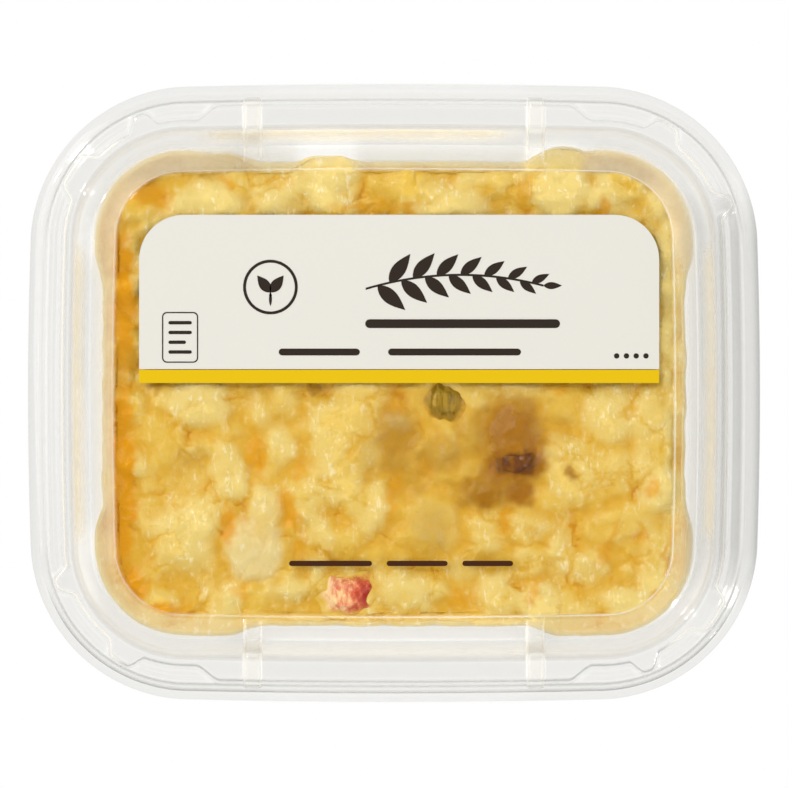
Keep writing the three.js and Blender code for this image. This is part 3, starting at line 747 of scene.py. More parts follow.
# %% [markdown]
# ## One way to add a node
#
# Both the Geometry Nodes tree and the materials are built with one small class. Its method takes
# a node's type, its settings and its sockets. A socket's value can be used in a Python
# expression, which adds the Math nodes that it needs.

# %% Node trees as expressions
# How many millimetres the crooked cells of the dressing are across.
CELL = 9


class Value:
    """An output socket that can be used in arithmetic."""

    def __init__(self, net, socket):
        self.net, self.socket = net, socket

    def _math(self, operation, first, second):
        return self.net.add("ShaderNodeMath", {"operation": operation}, {0: first, 1: second})[0]

    def __add__(self, other):
        return self._math("ADD", self, other)

    def __radd__(self, other):
        return self._math("ADD", other, self)

    def __sub__(self, other):
        return self._math("SUBTRACT", self, other)

    def __rsub__(self, other):
        return self._math("SUBTRACT", other, self)

    def __mul__(self, other):
        return self._math("MULTIPLY", self, other)

    def __truediv__(self, other):
        return self._math("DIVIDE", self, other)

    def __rtruediv__(self, other):
        return self._math("DIVIDE", other, self)

    def __pow__(self, other):
        return self._math("POWER", self, other)

    def smaller(self, other):
        return self._math("MINIMUM", self, other)

    def larger(self, other):
        return self._math("MAXIMUM", self, other)

    def ramp(self, low, high):
        """0 below low and 1 above high, with a smooth change between."""
        settings = {"interpolation_type": "SMOOTHSTEP"}
        return self.net.add("ShaderNodeMapRange", settings, {0: self, 1: low, 2: high})[0]


class Net:
    """A node tree, and the one way used here to add a node to it."""

    def __init__(self, tree):
        self.tree = tree

    def add(self, kind, settings=None, sockets=None):
        node = self.tree.nodes.new(kind)
        for name, value in (settings or {}).items():
            if name == "stops":
                self._set_stops(node.color_ramp, value)
            else:
                setattr(node, name, value)
        for key, value in (sockets or {}).items():
            if isinstance(value, Value):
                self.tree.links.new(value.socket, node.inputs[key])
            else:
                node.inputs[key].default_value = value
        return [Value(self, socket) for socket in node.outputs]

    @staticmethod
    def _set_stops(ramp, stops):
        while len(ramp.elements) < len(stops):
            ramp.elements.new(0.5)
        for element, (place, colour) in zip(ramp.elements, stops):
            element.position = place
            element.color = (*colour, 1)

    def blend(self, factor, first, second):
        """A colour between two, by a factor."""
        first = first if isinstance(first, Value) else (*first, 1)
        second = second if isinstance(second, Value) else (*second, 1)
        return self.add("ShaderNodeMix", {"data_type": "RGBA"}, {0: factor, 6: first, 7: second})[2]

    def place(self, scale=(1, 1, 1), turn=(0, 0, 0)):
        """Object coordinates, scaled and turned."""
        place = self.add("ShaderNodeTexCoord")[3]
        turn = [math.radians(angle) for angle in turn]
        return self.add("ShaderNodeMapping", None, {0: place, 2: turn, 3: scale})[0]

    def noise(self, size, detail=3, roughness=0.5, place=None, distortion=0):
        """Fractal noise from 0 to 1, whose largest features are about that many millimetres."""
        sockets = {"Vector": place or self.place(), "Scale": 1 / (size * MM), "Detail": detail,
                   "Roughness": roughness, "Distortion": distortion}
        return self.add("ShaderNodeTexNoise", None, sockets)[0]

    def chunks(self, place):
        """Crooked cells: how many mm inside one a point lies, its tone, and where cells part."""
        sockets = {"Vector": place, "Scale": 1 / (4 * MM), "Detail": 3.0, "Roughness": 0.6}
        wave = self.add("ShaderNodeTexNoise", None, sockets)[1]
        push = {0: wave, 1: (6 * MM, 6 * MM, 6 * MM), 2: place}
        sockets = {"Vector": self.add("ShaderNodeVectorMath", {"operation": "MULTIPLY_ADD"}, push)[0],
                   "Scale": 1 / (CELL * MM)}
        inside = self.add("ShaderNodeTexVoronoi", {"feature": "DISTANCE_TO_EDGE"}, sockets)[0] * CELL
        tone = self.add("ShaderNodeTexVoronoi", None, sockets)[1]
        sockets = {"Vector": place, "Scale": 1 / (10 * MM), "Detail": 2.0}
        parted = self.add("ShaderNodeTexNoise", None, sockets)[0].ramp(0.42, 0.56)
        return inside, self.parts(tone)[0], parted

    def attribute(self, name):
        """A named attribute of the mesh: its colour, vector and factor."""
        return self.add("ShaderNodeAttribute", {"attribute_name": name})

    def parts(self, vector):
        return self.add("ShaderNodeSeparateXYZ", None, {0: vector})

    def bump(self, height, strength, distance):
        sockets = {"Strength": strength, "Distance": distance * MM, "Height": height}
        return self.add("ShaderNodeBump", None, sockets)[0]

    def mixed(self, share, first, second):
        """A shader between two, by a share."""
        return self.add("ShaderNodeMixShader", None, {0: share, 1: first, 2: second})[0]

    def math(self, operation, *values):
        return self.add("ShaderNodeMath", {"operation": operation}, dict(enumerate(values)))[0]

    def vector(self, operation, first, second):
        return self.add("ShaderNodeVectorMath", {"operation": operation}, {0: first, 1: second})[0]

    def scaled(self, vector, factor):
        return self.add("ShaderNodeVectorMath", {"operation": "SCALE"}, {0: vector, 3: factor})[0]

    def named(self, name, kind="FLOAT"):
        """A stored attribute, in a Geometry Nodes tree."""
        return self.add("GeometryNodeInputNamedAttribute", {"data_type": kind}, {0: name})[0]

    def blurred(self, value, times, kind="FLOAT"):
        sockets = {0: value, 1: times, 2: 1.0}
        return self.add("GeometryNodeBlurAttribute", {"data_type": kind}, sockets)[0]

    def stored(self, geometry, name, value, kind="FLOAT"):
        settings = {"data_type": kind, "domain": "POINT"}
        sockets = {0: geometry, 2: name, 3: value}
        return self.add("GeometryNodeStoreNamedAttribute", settings, sockets)[0]

    def end_tree(self, geometry, material):
        whole = self.add("GeometryNodeRealizeInstances", None, {0: geometry})[0]
        done = self.add("GeometryNodeSetMaterial", None, {0: whole, 2: material})[0]
        self.add("NodeGroupOutput", None, {0: done})


def plain_mesh(made, smooth=True):
    """Swaps an object's modifiers for their result."""
    mesh = evaluated_mesh(made)
    made.modifiers.clear()
    made.data = mesh
    mesh.polygons.foreach_set("use_smooth", [smooth] * len(mesh.polygons))


def run_tree(made, name, build, rows, smooth=True):
    """Builds a Geometry Nodes tree with named inputs and swaps the object for its result.

    A row is an input: its name, its kind of socket and its value."""
    tree = bpy.data.node_groups.new(name, "GeometryNodeTree")
    face = tree.interface
    for way in ("INPUT", "OUTPUT"):
        face.new_socket("Geometry", in_out=way, socket_type="NodeSocketGeometry")
    values = {}
    for label, kind, value in rows:
        socket = face.new_socket(label, in_out="INPUT", socket_type="NodeSocket" + kind)
        values[socket.identifier] = value
    build(Net(tree))
    print(name + ":", len(tree.nodes), "nodes")
    modifier = made.modifiers.new(name, "NODES")
    modifier.node_group = tree
    for identifier, value in values.items():
        modifier[identifier] = value
    plain_mesh(made, smooth)


print("node helpers ready")

# %% [markdown]
# A ray starts well outside the skin and runs inwards. Where it meets a lump before it meets the
# skin, the skin stays where it is: that lump is pressed flat against the plastic. The tree has
# named inputs for the depth of the crevices, the smoothing, the grains, the cracks between the
# crooked cells, and how far the rays waver.

# %% Geometry Nodes tree that wraps the skin over the lumps
RAY_START = 8.0
RAY_LENGTH = 40.0
TONE_BLUR = 14
CRACK_WIDTH = 1.1


def wrap_over_lumps(net):
    given = net.add("NodeGroupInput")
    geometry, lumps, deepest, smoothing, grain_size, grain_depth, waver, crack_depth, material = given[:9]
    position = net.add("GeometryNodeInputPosition")[0]
    normal = net.add("GeometryNodeInputNormal")[0]
    wide = {"Vector": position, "Scale": 1 / (7 * MM), "Detail": 3.0}
    wide = net.add("ShaderNodeTexNoise", None, wide)[1]
    off = net.scaled(net.vector("SUBTRACT", wide, (0.5, 0.5, 0.5)), waver * 4.0)
    start = net.vector("ADD", position, net.scaled(normal, RAY_START * MM))
    ray = {
        0: net.add("GeometryNodeObjectInfo", None, {0: lumps})[4],
        1: net.named("tone", "FLOAT_VECTOR"),
        2: net.vector("ADD", start, off),
        3: net.scaled(normal, -1.0),
        4: RAY_LENGTH * MM,
    }
    hit, _, _, distance, found = net.add("GeometryNodeRaycast", {"data_type": "FLOAT_VECTOR"}, ray)[:5]
    met = {0: hit, 1: 1.0, 2: distance - RAY_START * MM}
    depth = net.add("GeometryNodeSwitch", {"input_type": "FLOAT"}, met)[0]
    depth = net.math("SMOOTH_MIN", depth, deepest, 0.8 * MM)
    depth = net.math("SMOOTH_MAX", depth, 0.0, 0.5 * MM)
    free = net.named("free")
    depth = net.blurred(depth, smoothing) * free
    stored = net.stored(geometry, "tone", net.blurred(found, TONE_BLUR, "FLOAT_VECTOR"), "FLOAT_VECTOR")
    stored = net.stored(stored, "crevice", depth - net.blurred(depth, TONE_BLUR))
    stored = net.stored(stored, "depth", depth)
    stored = net.stored(stored, "rest", position, "FLOAT_VECTOR")
    inside, _, parted = net.chunks(net.named("rest", "FLOAT_VECTOR"))
    crack = (1 - inside.ramp(0.0, CRACK_WIDTH)) * parted * crack_depth
    grain = {"Vector": position, "Scale": 1 / grain_size, "Detail": 4.0}
    grain = net.add("ShaderNodeTexNoise", None, grain)[0]
    grain = (grain - 0.42).larger(0.0) * grain_depth * 3.0
    pull = (net.named("depth") + (grain + crack) * free) * -1.0
    moved = net.add("GeometryNodeSetPosition", None, {0: stored, 3: net.scaled(normal, pull)})[0]
    net.end_tree(moved, material)


print("a ray starts", RAY_START, "mm outside the skin and is", RAY_LENGTH, "mm long")

# %% [markdown]
# ## The salad's finish
#
# Thick dressing is wet and glossy. It is pale where a lump comes close to the lid and deep orange
# where it is thick. In the crevices and in the cracks between crooked cells it is deeper orange
# still, partly dressing that pools there and partly painted shade. Bare potato is paler and
# streaked, and small light flecks on the pale parts are painted highlights. Places stained by a
# pickle or a herb are soft patches on the skin, orange patches are painted shade in crevices and by
# the walls, partly dressing that pools, and a paler strip, a painted reflection of the lid's slope,
# runs where the food lies outside the lid's flat panel.

# %% Salad finish
def linear(red, green, blue):
    """A colour given as 0 to 255 on a screen, as the linear values that Blender works with."""
    def one(value):
        value /= 255
        return value / 12.92 if value <= 0.04045 else ((value + 0.055) / 1.055) ** 2.4
    return one(red), one(green), one(blue)


def new_material(name):
    material = bpy.data.materials.new(name)
    material.use_nodes = True
    material.node_tree.nodes.clear()
    return material, Net(material.node_tree)


def finish_surface(net, shader):
    net.add("ShaderNodeOutputMaterial", None, {"Surface": shader})


def mix_colour(first, second, share):
    return tuple(mix(a, b, share) for a, b in zip(first, second))


# Colours of the dressing, the potato and the stains.
DRESSING_PALE = linear(230, 206, 127)
DRESSING = linear(223, 184, 74)
DRESSING_WARM = linear(213, 162, 42)
DRESSING_DEEP = linear(186, 112, 9)
AMBER = linear(219, 152, 4)
FLECK = linear(246, 238, 206)
POTATO = linear(224, 207, 154)
POTATO_STREAK = linear(216, 188, 112)
MUSTARD_DULL = linear(158, 105, 2)
PICKLE_AMBER = linear(158, 101, 3)
PICKLE_STAIN = linear(88, 44, 12)


def salad_finish():
    material, net = new_material("mustard dressing")
    pale, bare, _ = net.parts(net.attribute("tone")[1])
    depth = net.attribute("depth")[2] / (2.0 * MM)
    crevice = (net.attribute("crevice")[2] / (0.5 * MM)).larger(-0.6)
    orange, brown, dull = net.parts(net.attribute("stain")[1])
    slow = net.noise(9, 3)
    marbled = net.noise(5, 5, 0.62, distortion=1.6)
    fine = net.noise(1.5, 4, 0.65)
    streak = net.noise(1.1, 3, 0.6, net.place((1, 0.3, 1), (0, 0, 30)), 0.8)
    inside, tone, parted = net.chunks(net.attribute("rest")[1])
    crack = (1 - inside.ramp(0.0, 0.8)) * parted
    mottle = (slow - 0.5) * 0.35 + (marbled - 0.5) * 0.55 + (fine - 0.5) * 0.3 + (streak - 0.5) * 0.3
    strip = net.attribute("strip")[2]
    # How thick the dressing lies, which makes it deeper in colour. Its depth, crevice and crack terms are
    # partly painted shade, and the strip of painted reflection makes it thinner.
    thick = depth * 0.35 + crevice * 0.42 - mottle * 0.3 + orange * 0.2 + crack * 0.35 + 0.05 - strip * 0.4
    ramp = {"stops": [(0.0, DRESSING), (0.4, mix_colour(DRESSING, DRESSING_WARM, 0.6)),
                      (0.75, DRESSING_WARM), (1.0, DRESSING_DEEP)]}
    body = net.add("ShaderNodeValToRGB", ramp, {0: thick})[0]
    # How pale the dressing is, then bare potato, and small light flecks that are painted highlights.
    light = (pale * 0.9 + mottle * 0.7 + (tone - 0.5) * 0.25 - thick * 0.7 + strip * 0.1).ramp(0.0, 0.9)
    body = net.blend(light * 0.92, body, DRESSING_PALE)
    flesh = net.blend((streak - 0.4) * 0.9, POTATO, POTATO_STREAK)
    body = net.blend((bare * 1.2 + mottle * 1.3 - 0.25).ramp(0.0, 1.2) * 0.75, body, flesh)
    fleck = (streak * 0.6 + fine * 0.4 - 0.55).ramp(0.0, 0.06) * (light * 0.8 + 0.1)
    body = net.blend(fleck * 0.5, body, FLECK)
    # Stains, from the faintest to the darkest. The orange one is painted shade in crevices and by the
    # walls, partly dressing that pools.
    body = net.blend((orange * (mottle * 0.6 + 0.9)).smaller(1.0), body, AMBER)
    body = net.blend((dull * (mottle + 0.8)).smaller(1.0), body, MUSTARD_DULL)
    body = net.blend((brown * (mottle * 0.8 + 1.5)).smaller(0.95), body, PICKLE_AMBER)
    body = net.blend((brown + mottle * 0.3).ramp(0.62, 1.0) * 0.8, body, PICKLE_STAIN)
    wet = net.noise(0.8, 3, 0.6)
    relief = fine * 0.35 + streak * 0.2 + wet * 0.2 + marbled * 0.7
    rough = (0.2 + (fine - 0.5) * 0.3).larger(0.1)
    shader = net.add("ShaderNodeBsdfPrincipled", None, {
        "Base Color": body, "Roughness": rough, "Normal": net.bump(relief, 0.7, 0.7), "IOR": 1.33,
    })[0]
    finish_surface(net, shader)
    return material


salad_material = salad_finish()
print("salad finish:", len(salad_material.node_tree.nodes), "nodes")

# %% Patches of colour on the salad, in millimetres
# Middle x and y, half width, half depth, turn in degrees, strength.
# The orange patches are painted shade in crevices and by the walls, partly dressing that pools.
ORANGE_PATCHES = [
    (-28.5, -12.7, 2.0, 5.7, 0, 0.8), (-34.0, -27.0, 1.6, 4.5, 0, 0.9),
    (-21.5, -24.4, 1.8, 5.5, 30, 0.75), (0.4, -1.8, 2.7, 4.5, 0, 0.5),
    (-0.4, -20.9, 1.8, 5.3, 0, 0.7), (52.9, -19.3, 2.0, 2.5, 0, 0.7),
    (44.1, -31.1, 1.4, 6.6, -25, 0.5), (50.4, -29.5, 2.0, 1.6, 0, 0.6),
    (28.9, -40.8, 1.2, 4.1, -20, 0.6), (13.5, -42.4, 3.5, 2.9, 0, 0.6),
    (22.7, -25.6, 1.0, 4.1, -15, 0.7), (-55.7, -17.8, 2.9, 25.6, 0, 1.4),
    (-55.5, 19.1, 2.7, 17.4, 0, 1.2), (-53.7, -40.0, 3.7, 5.3, 0, 1.2),
    (-48.8, -44.5, 7.8, 2.3, 0, 1.1), (-50.0, 40.0, 4.9, 3.3, 0, 0.8),
    (-33.6, 42.8, 1.0, 2.5, 50, 0.6), (-5.9, 37.9, 8.2, 1.4, 0, 0.6),
    (3.7, 37.1, 2.9, 1.2, 0, 0.7), (26.8, 41.6, 1.6, 4.1, 0, 0.5),
    (42.8, 37.9, 1.6, 2.9, 0, 0.7), (34.0, 1.0, 2.9, 1.4, 0, 0.6),
    (-19.3, -15.8, 1.6, 2.9, 0, 0.5), (-31.6, -40.4, 1.6, 2.0, 0, 0.5),
    (36.1, -26.0, 1.2, 4.1, 10, 0.4), (56.1, -34.2, 1.0, 8.2, 0, 0.6),
    (53.5, -42.4, 1.2, 4.1, -30, 0.7), (19.1, -21.9, 2.5, 1.6, 0, 0.4),
    (-19.3, -31.8, 1.6, 4.1, 0, 0.4), (6.4, -15.8, 2.9, 2.0, 0, 0.3),
]
BROWN_PATCHES = [
    (24.6, -8.4, 7.8, 10.2, 0, 0.62), (25.2, -14.5, 7.4, 4.1, 8, 0.95),
    (21.3, -16.6, 2.7, 2.5, 0, 0.6), (36.3, -16.4, 2.0, 1.6, -30, 0.5),
    (26.2, -20.3, 3.3, 3.7, 0, 0.6), (34.0, -7.6, 3.3, 3.7, 0, 0.12),
]
DULL_PATCHES = [
    (19.7, -20.3, 9.0, 4.5, 0, 1.1), (7.6, -26.6, 4.9, 5.7, 0, 0.3),
    (21.7, -12.7, 9.0, 10.2, 0, 0.45), (0.2, -9.6, 5.7, 9.0, 0, 0.7),
    (9.4, -12.7, 7.0, 5.3, 0, 0.55), (3.3, -17.8, 4.9, 4.5, 0, 0.4),
    (-16.4, 0.8, 1.6, 1.8, 0, 1.0), (-48.4, 1.8, 3.3, 1.4, 0, 0.8),
    (-4.5, -12.7, 3.3, 7.0, 0, 0.35), (15.6, -7.6, 4.1, 4.1, 0, 0.5),
    (-41.8, -12.7, 4.5, 3.3, 0, 0.25),
]
print(len(ORANGE_PATCHES), "orange,", len(BROWN_PATCHES), "brown and", len(DULL_PATCHES), "dull patches")

# %% [markdown]
# Now the skin is wrapped. The tree's result is made a plain mesh, and the modifier goes, so that
# nothing on the piece is live any more. The patches, some of them painted shade, and the strip of
# painted reflection are kept as values at its points.
# The patches' outlines waver by a vector noise, which Blender starts from the clock unless it is
# given a seed. This seed gives the outlines that were compared with the photo. This is the seed
# that the patches were placed with.

# %% Wrap the skin and paint the patches
WRAP_INPUTS = [
    ("Lumps", "Object", lumps), ("Deepest", "Float", 2.0 * MM), ("Smoothing", "Int", 5),
    ("Grain size", "Float", 2.0 * MM), ("Grain depth", "Float", 0.3 * MM),
    ("Waver", "Float", 1.0 * MM), ("Crack depth", "Float", 0.25 * MM),
    ("Material", "Material", salad_material),
]
WAVER_SEED = 1796074294


def patch_strength(points, patches):
    strength = np.zeros(len(points))
    for x, y, half_x, half_y, turn, most in patches:
        c, s = math.cos(math.radians(turn)), math.sin(math.radians(turn))
        across = ((points[:, 0] - x) * c + (points[:, 1] - y) * s) / half_x
        along = (-(points[:, 0] - x) * s + (points[:, 1] - y) * c) / half_y
        strength = np.maximum(strength, most * (1 - smooth_step(0.35, 1.25, np.hypot(across, along))))
    return strength


def paint_patches(made):
    noise.seed_set(WAVER_SEED)
    points = points_of(made)
    waver = np.array([noise.noise_vector(Vector(point) * 0.35) for point in points.tolist()])
    waver += 0.5 * np.array([noise.noise_vector(Vector(point) * 0.9) for point in points.tolist()])
    moved = points + 1.6 * waver
    inset = inset_at(points[:, 0], points[:, 1])
    on_top = smooth_step(CONTACT - 9, CONTACT - 5, points[:, 2])
    in_panel = smooth_step(16.4, 17.6, inset)
    stain = np.stack([patch_strength(moved, patches) * on_top * in_panel
                      for patches in (ORANGE_PATCHES, BROWN_PATCHES, DULL_PATCHES)], -1)
    store(made, "stain", "FLOAT_VECTOR", stain)
    # A paler strip where the food lies outside the lid's flat panel: a painted reflection of the lid's
    # slope.
    width = 17.0 + 2.4 * smooth_step(40, 55, points[:, 0])
    beyond = smooth_step(width - 0.6, width + 0.6, inset)
    store(made, "strip", "FLOAT", (1 - beyond) * smooth_step(CONTACT - 8, CONTACT - 4, points[:, 2]))


run_tree(skin, "wrap skin over lumps", wrap_over_lumps, WRAP_INPUTS)
bpy.data.objects.remove(lumps)
paint_patches(skin)
describe(skin)
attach(skin, "root")
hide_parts("salad")

# %% [markdown]
# ## Vegetables under the lid
#
# Three pieces show plainly: a ribbed celery stick cut across, a piece of pickle and a piece of
# red pepper. Each is a ball pulled out to a block, with its own relief.

# %% Shapes of the vegetable pieces
def vegetable(name, middle, half, turn, boxiness, relief, material, node):
    """A ball pulled out to a block and pressed flat under the lid. Core is 1 inside and 0 at its rim."""
    ball, faces = unit_ball(6)
    shape = toward_block(uneven(ball, len(name), 0.3), boxiness)
    shape = shape * (1 + relief(shape))[:, None]
    shape = turned(shape * np.array(half), turn, 0) + np.array(middle)
    core = 1 - smooth_step(0.3, 0.95, np.hypot(ball[:, 0], ball[:, 1]))
    pressed = CONTACT + INTO_WALL
    sunk_rim = 0.75 * (middle[2] - pressed)
    shape[:, 2] = np.minimum(shape[:, 2], pressed + np.interp(core, [0, 0.9], [sunk_rim, 0.06]))
    made = new_object(name, shape, faces.tolist())
    store(made, "core", "FLOAT", core)
    made.data.materials.append(material)
    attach(made, "root")
    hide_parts(node)
    describe(made)


def ribs(shape):
    return 0.05 * np.cos(shape[:, 0] * 16) * smooth_step(0.1, 0.5, shape[:, 2] + 0.6)


def flaky(shape):
    return np.array([0.25 * noise.noise(Vector(point) * 2.2) for point in shape.tolist()])


def wet_piece(net, colour, around, coat, roughness, relief):
    """The piece's colour, under dressing that creeps in over its rim."""
    creep = net.noise(2.2, 4, 0.6)
    shown = (net.attribute("core")[2] + (creep - 0.5) * 0.9).ramp(coat, coat + 0.5)
    around = net.blend((creep - 0.3) * 1.2, around, mix_colour(around, DRESSING_PALE, 0.12))
    colour = net.blend(shown, around, colour)
    finish_surface(net, net.add("ShaderNodeBsdfPrincipled", None, {
        "Base Color": colour, "Roughness": roughness, "Normal": net.bump(relief, 0.5, 0.3), "IOR": 1.42,
        "Subsurface Weight": 0.15, "Subsurface Radius": (1.0, 0.7, 0.2), "Subsurface Scale": 1.5 * MM,
    })[0])


def celery_finish():
    material, net = new_material("cut celery")
    line = net.noise(0.9, 4, 0.65, net.place((1, 0.16, 1), (0, 0, 17)))
    spots = net.noise(1.6, 3)
    colour = net.add("ShaderNodeValToRGB", {"stops": [
        (0.3, linear(100, 78, 6)), (0.45, linear(138, 108, 14)),
        (0.58, linear(166, 132, 40)), (0.8, linear(196, 166, 82)),
    ]}, {0: line * 0.75 + spots * 0.25})[0]
    wet_piece(net, colour, DRESSING_WARM, 0.0, spots * 0.2 + 0.2, line)
    return material


def soft_piece_finish(name, stops, size, around, coat, redder):
    """Redder is how fast the colour runs along the stops towards +X, and from which x, in mm."""
    material, net = new_material(name)
    spots = net.noise(size, 5, 0.7, net.place((1, 0.5, 1), (0, 0, 24)))
    across = (net.parts(net.place())[0] / MM - redder[1]) * redder[0]
    colour = net.add("ShaderNodeValToRGB", {"stops": stops}, {0: spots + across})[0]
    wet_piece(net, colour, around, coat, spots * 0.2 + 0.16, net.noise(0.8, 3))
    return material


PEPPER_STOPS = [(0.34, linear(240, 204, 150)), (0.48, linear(220, 140, 98)),
                (0.58, linear(198, 92, 62)), (0.74, linear(168, 40, 24))]
PICKLE_STOPS = [(0.34, linear(130, 80, 12)), (0.46, linear(108, 62, 18)),
                (0.56, linear(92, 50, 24)), (0.7, linear(76, 40, 28))]
IN_PICKLE = mix_colour(PICKLE_STAIN, PICKLE_AMBER, 0.55)
vegetable("celery_stick", (10.4, -1.9, CONTACT - 2.4), (5.3, 4.5, 3.0), -0.3, 0.7, ribs,
          celery_finish(), "celery_piece")
vegetable("pickle_chunk", (25.2, -14.4, CONTACT - 2.2), (5.4, 3.4, 2.8), 0.25, 0.0, flaky,
          soft_piece_finish("pickle", PICKLE_STOPS, 1.6, IN_PICKLE, 0.2, (0.02, 25.4)),
          "pickle_piece")
# The pepper runs redder towards +X: its pink to red is its own, and the pale cream at its left end is a
# painted highlight.
vegetable("pepper_chunk", (-9.6, -41.4, CONTACT - 2.3), (7.0, 5.0, 3.0), 0.1, 0.5, flaky,
          soft_piece_finish("red pepper", PEPPER_STOPS, 1.4, DRESSING, 0.0, (0.04, -9.6)),
          "pepper_piece")

# %% [markdown]
# ## Clear plastic
#
# Tub and lid are clear PET, half a millimetre thick. A sheet that thin hardly moves what is seen
# through it, so light goes straight through both faces, and each face mirrors a share of it that
# grows as it is seen edge on. Glass would bend the light inside the wall, and that gives black
# lines at the bends that real thin trays don't show. The label's film bends nothing either. It has
# a faint gloss and lets the lamps' light straight through.

# %% Clear plastic finish
WARM_MILK, WHITE_MILK, GREY_MILK = (1.0, 0.9, 0.68), (1.0, 0.98, 0.92), (0.3, 0.3, 0.29)
WHITE = (1, 1, 1, 1)


def clear_finish(name, tint, mirror, edge_grey):
    material, net = new_material(name)
    edge_on = net.add("ShaderNodeLayerWeight", None, {0: 0.5})[1]
    scuffs = net.noise(4, 4, 0.6)
    # Painted on the points: warm fog, partly a painted reflection of the salad, white painted highlights,
    # and grey painted shade.
    fog, white, grey = net.parts(net.attribute("marks")[1])
    fog = (fog * (scuffs * 0.8 + 0.6)).smaller(1.0)
    # Grey is painted where the sheet is seen edge on too: painted shade for the dark lines along bends and
    # steep walls.
    grey = (grey + edge_on ** 3 * edge_grey).smaller(1.0)

    def milk(colour):
        lit = net.add("ShaderNodeBsdfDiffuse", None, {0: (*colour, 1)})[0]
        through = net.add("ShaderNodeBsdfTranslucent", None, {0: (*colour, 1)})[0]
        return net.mixed(0.4, lit, through)

    body = net.add("ShaderNodeBsdfTransparent", None, {0: (*tint, 1)})[0]
    for share, colour in ((fog, WARM_MILK), (white, WHITE_MILK), (grey, GREY_MILK)):
        body = net.mixed(share, body, milk(colour))
    gloss = net.add("ShaderNodeBsdfGlossy", None, {"Color": WHITE, "Roughness": 0.04})[0]
    finish_surface(net, net.mixed(edge_on ** 5 * (0.5 - mirror) + mirror, body, gloss))
    return material


def film_finish():
    """A film too thin to see, but for a faint gloss. It lets the lamps' light straight through."""
    material, net = new_material("clear label film")
    straight = {"Color": WHITE, "Roughness": 0.0, "IOR": 1.0}
    seen = net.add("ShaderNodeBsdfRefraction", None, straight)[0]
    lamp = net.add("ShaderNodeBsdfTransparent", None, {0: WHITE})[0]
    through = net.mixed(net.add("ShaderNodeLightPath")[1], seen, lamp)
    gloss = net.add("ShaderNodeBsdfGlossy", None, {"Color": WHITE, "Roughness": 0.05})[0]
    edge_on = net.add("ShaderNodeLayerWeight", None, {0: 0.5})[1]
    finish_surface(net, net.mixed(edge_on ** 4 * 0.2 + 0.006, through, gloss))
    return material


plastic = clear_finish("clear plastic", (0.992, 0.990, 0.981), 0.035, 0.12)
clear_film = film_finish()
print("plastic:", len(plastic.node_tree.nodes), "nodes, film:", len(clear_film.node_tree.nodes), "nodes")

# %% [markdown]
# Where the sheet is wet or fogged it is milky. Such colour is painted on the points of lid and tub:
# warm fog where dressing has wet the lid, which is in part a painted reflection of the salad, painted
# highlights in white along folds and ribs, and grey, painted shade, where the sheet stands steep and
# the sides of the pack are in shade. The shades differ from side to side, because the light does.
# Each table lists insets and strengths.

# %% Fog, painted highlights and painted shade on the lid and the tub
# Fog over the wet strip is partly dressing on the lid, partly a painted reflection. The folds' white is
# painted highlight; the lines, the shades and the grey over each side's middle are painted shade.
FOG = [(12.6, 0.0), (13.0, 0.3), (14.0, 0.3), (15.6, 0.55), (17.0, 0.6), (17.3, 0.3), (17.6, 0.0)]
OUTER_FOLD = [(12.5, 0.0), (12.75, 0.28), (13.0, 0.0)]
INNER_FOLD = [(17.15, 0.0), (17.35, 0.4), (17.55, 0.0)]
WALL_LINE = [(3.0, 0.0), (3.3, 0.28), (3.7, 0.0)]
EDGE_LINE = [(1.78, 0.45), (2.1, 0.0)]
RIGHT_SHADE = [(1.8, 0.02), (3.6, 0.02), (4.0, 0.31), (5.3, 0.38), (5.8, 0.12), (6.7, 0.05), (7.0, 0.29),
               (8.2, 0.26), (8.7, 0.02), (9.3, 0.14), (11.4, 0.15), (12.0, 0.2), (12.8, 0.2), (13.4, 0.12),
               (15.2, 0.12), (15.5, 0.0)]
LEFT_SHADE = [(4.0, 0.0), (4.2, 0.06), (5.2, 0.08), (5.6, 0.0), (6.6, 0.04), (7.8, 0.1), (8.2, 0.0)]
BACK_SHADE = [(9.8, 0.0), (10.2, 0.12), (11.6, 0.12), (12.0, 0.0), (13.2, 0.0), (13.9, 0.12),
              (17.6, 0.15), (17.8, 0.0)]
FRONT_SHADE = [(9.8, 0.0), (10.2, 0.22), (11.2, 0.28), (11.6, 0.0)]
VEIL = [(8.6, 0), (9.4, 0.04), (11.6, 0.04), (12.4, 0.08), (14.6, 0.08), (15.4, 0)]
FAR_OFF = 99


def band(inset, *edges):
    """1 between the two middle insets and 0 outside the outer two."""
    return np.interp(inset, edges, [0, 1, 1, 0])


def beside_lumps(x, y):
    """0 at the two lumps that lie on the back shoulder, 1 everywhere else."""
    away = np.prod([smooth_step(4, 8, np.abs(x - middle)) for middle in SHOULDER_LUMPS], axis=0)
    return np.where(y > 30, away, 1.0)


def left_and_right(x, y):
    at_side = smooth_step(50, 60, np.abs(x)) * (1 - smooth_step(30, 46, np.abs(y)))
    return at_side * (x < 0), at_side * (x > 0)


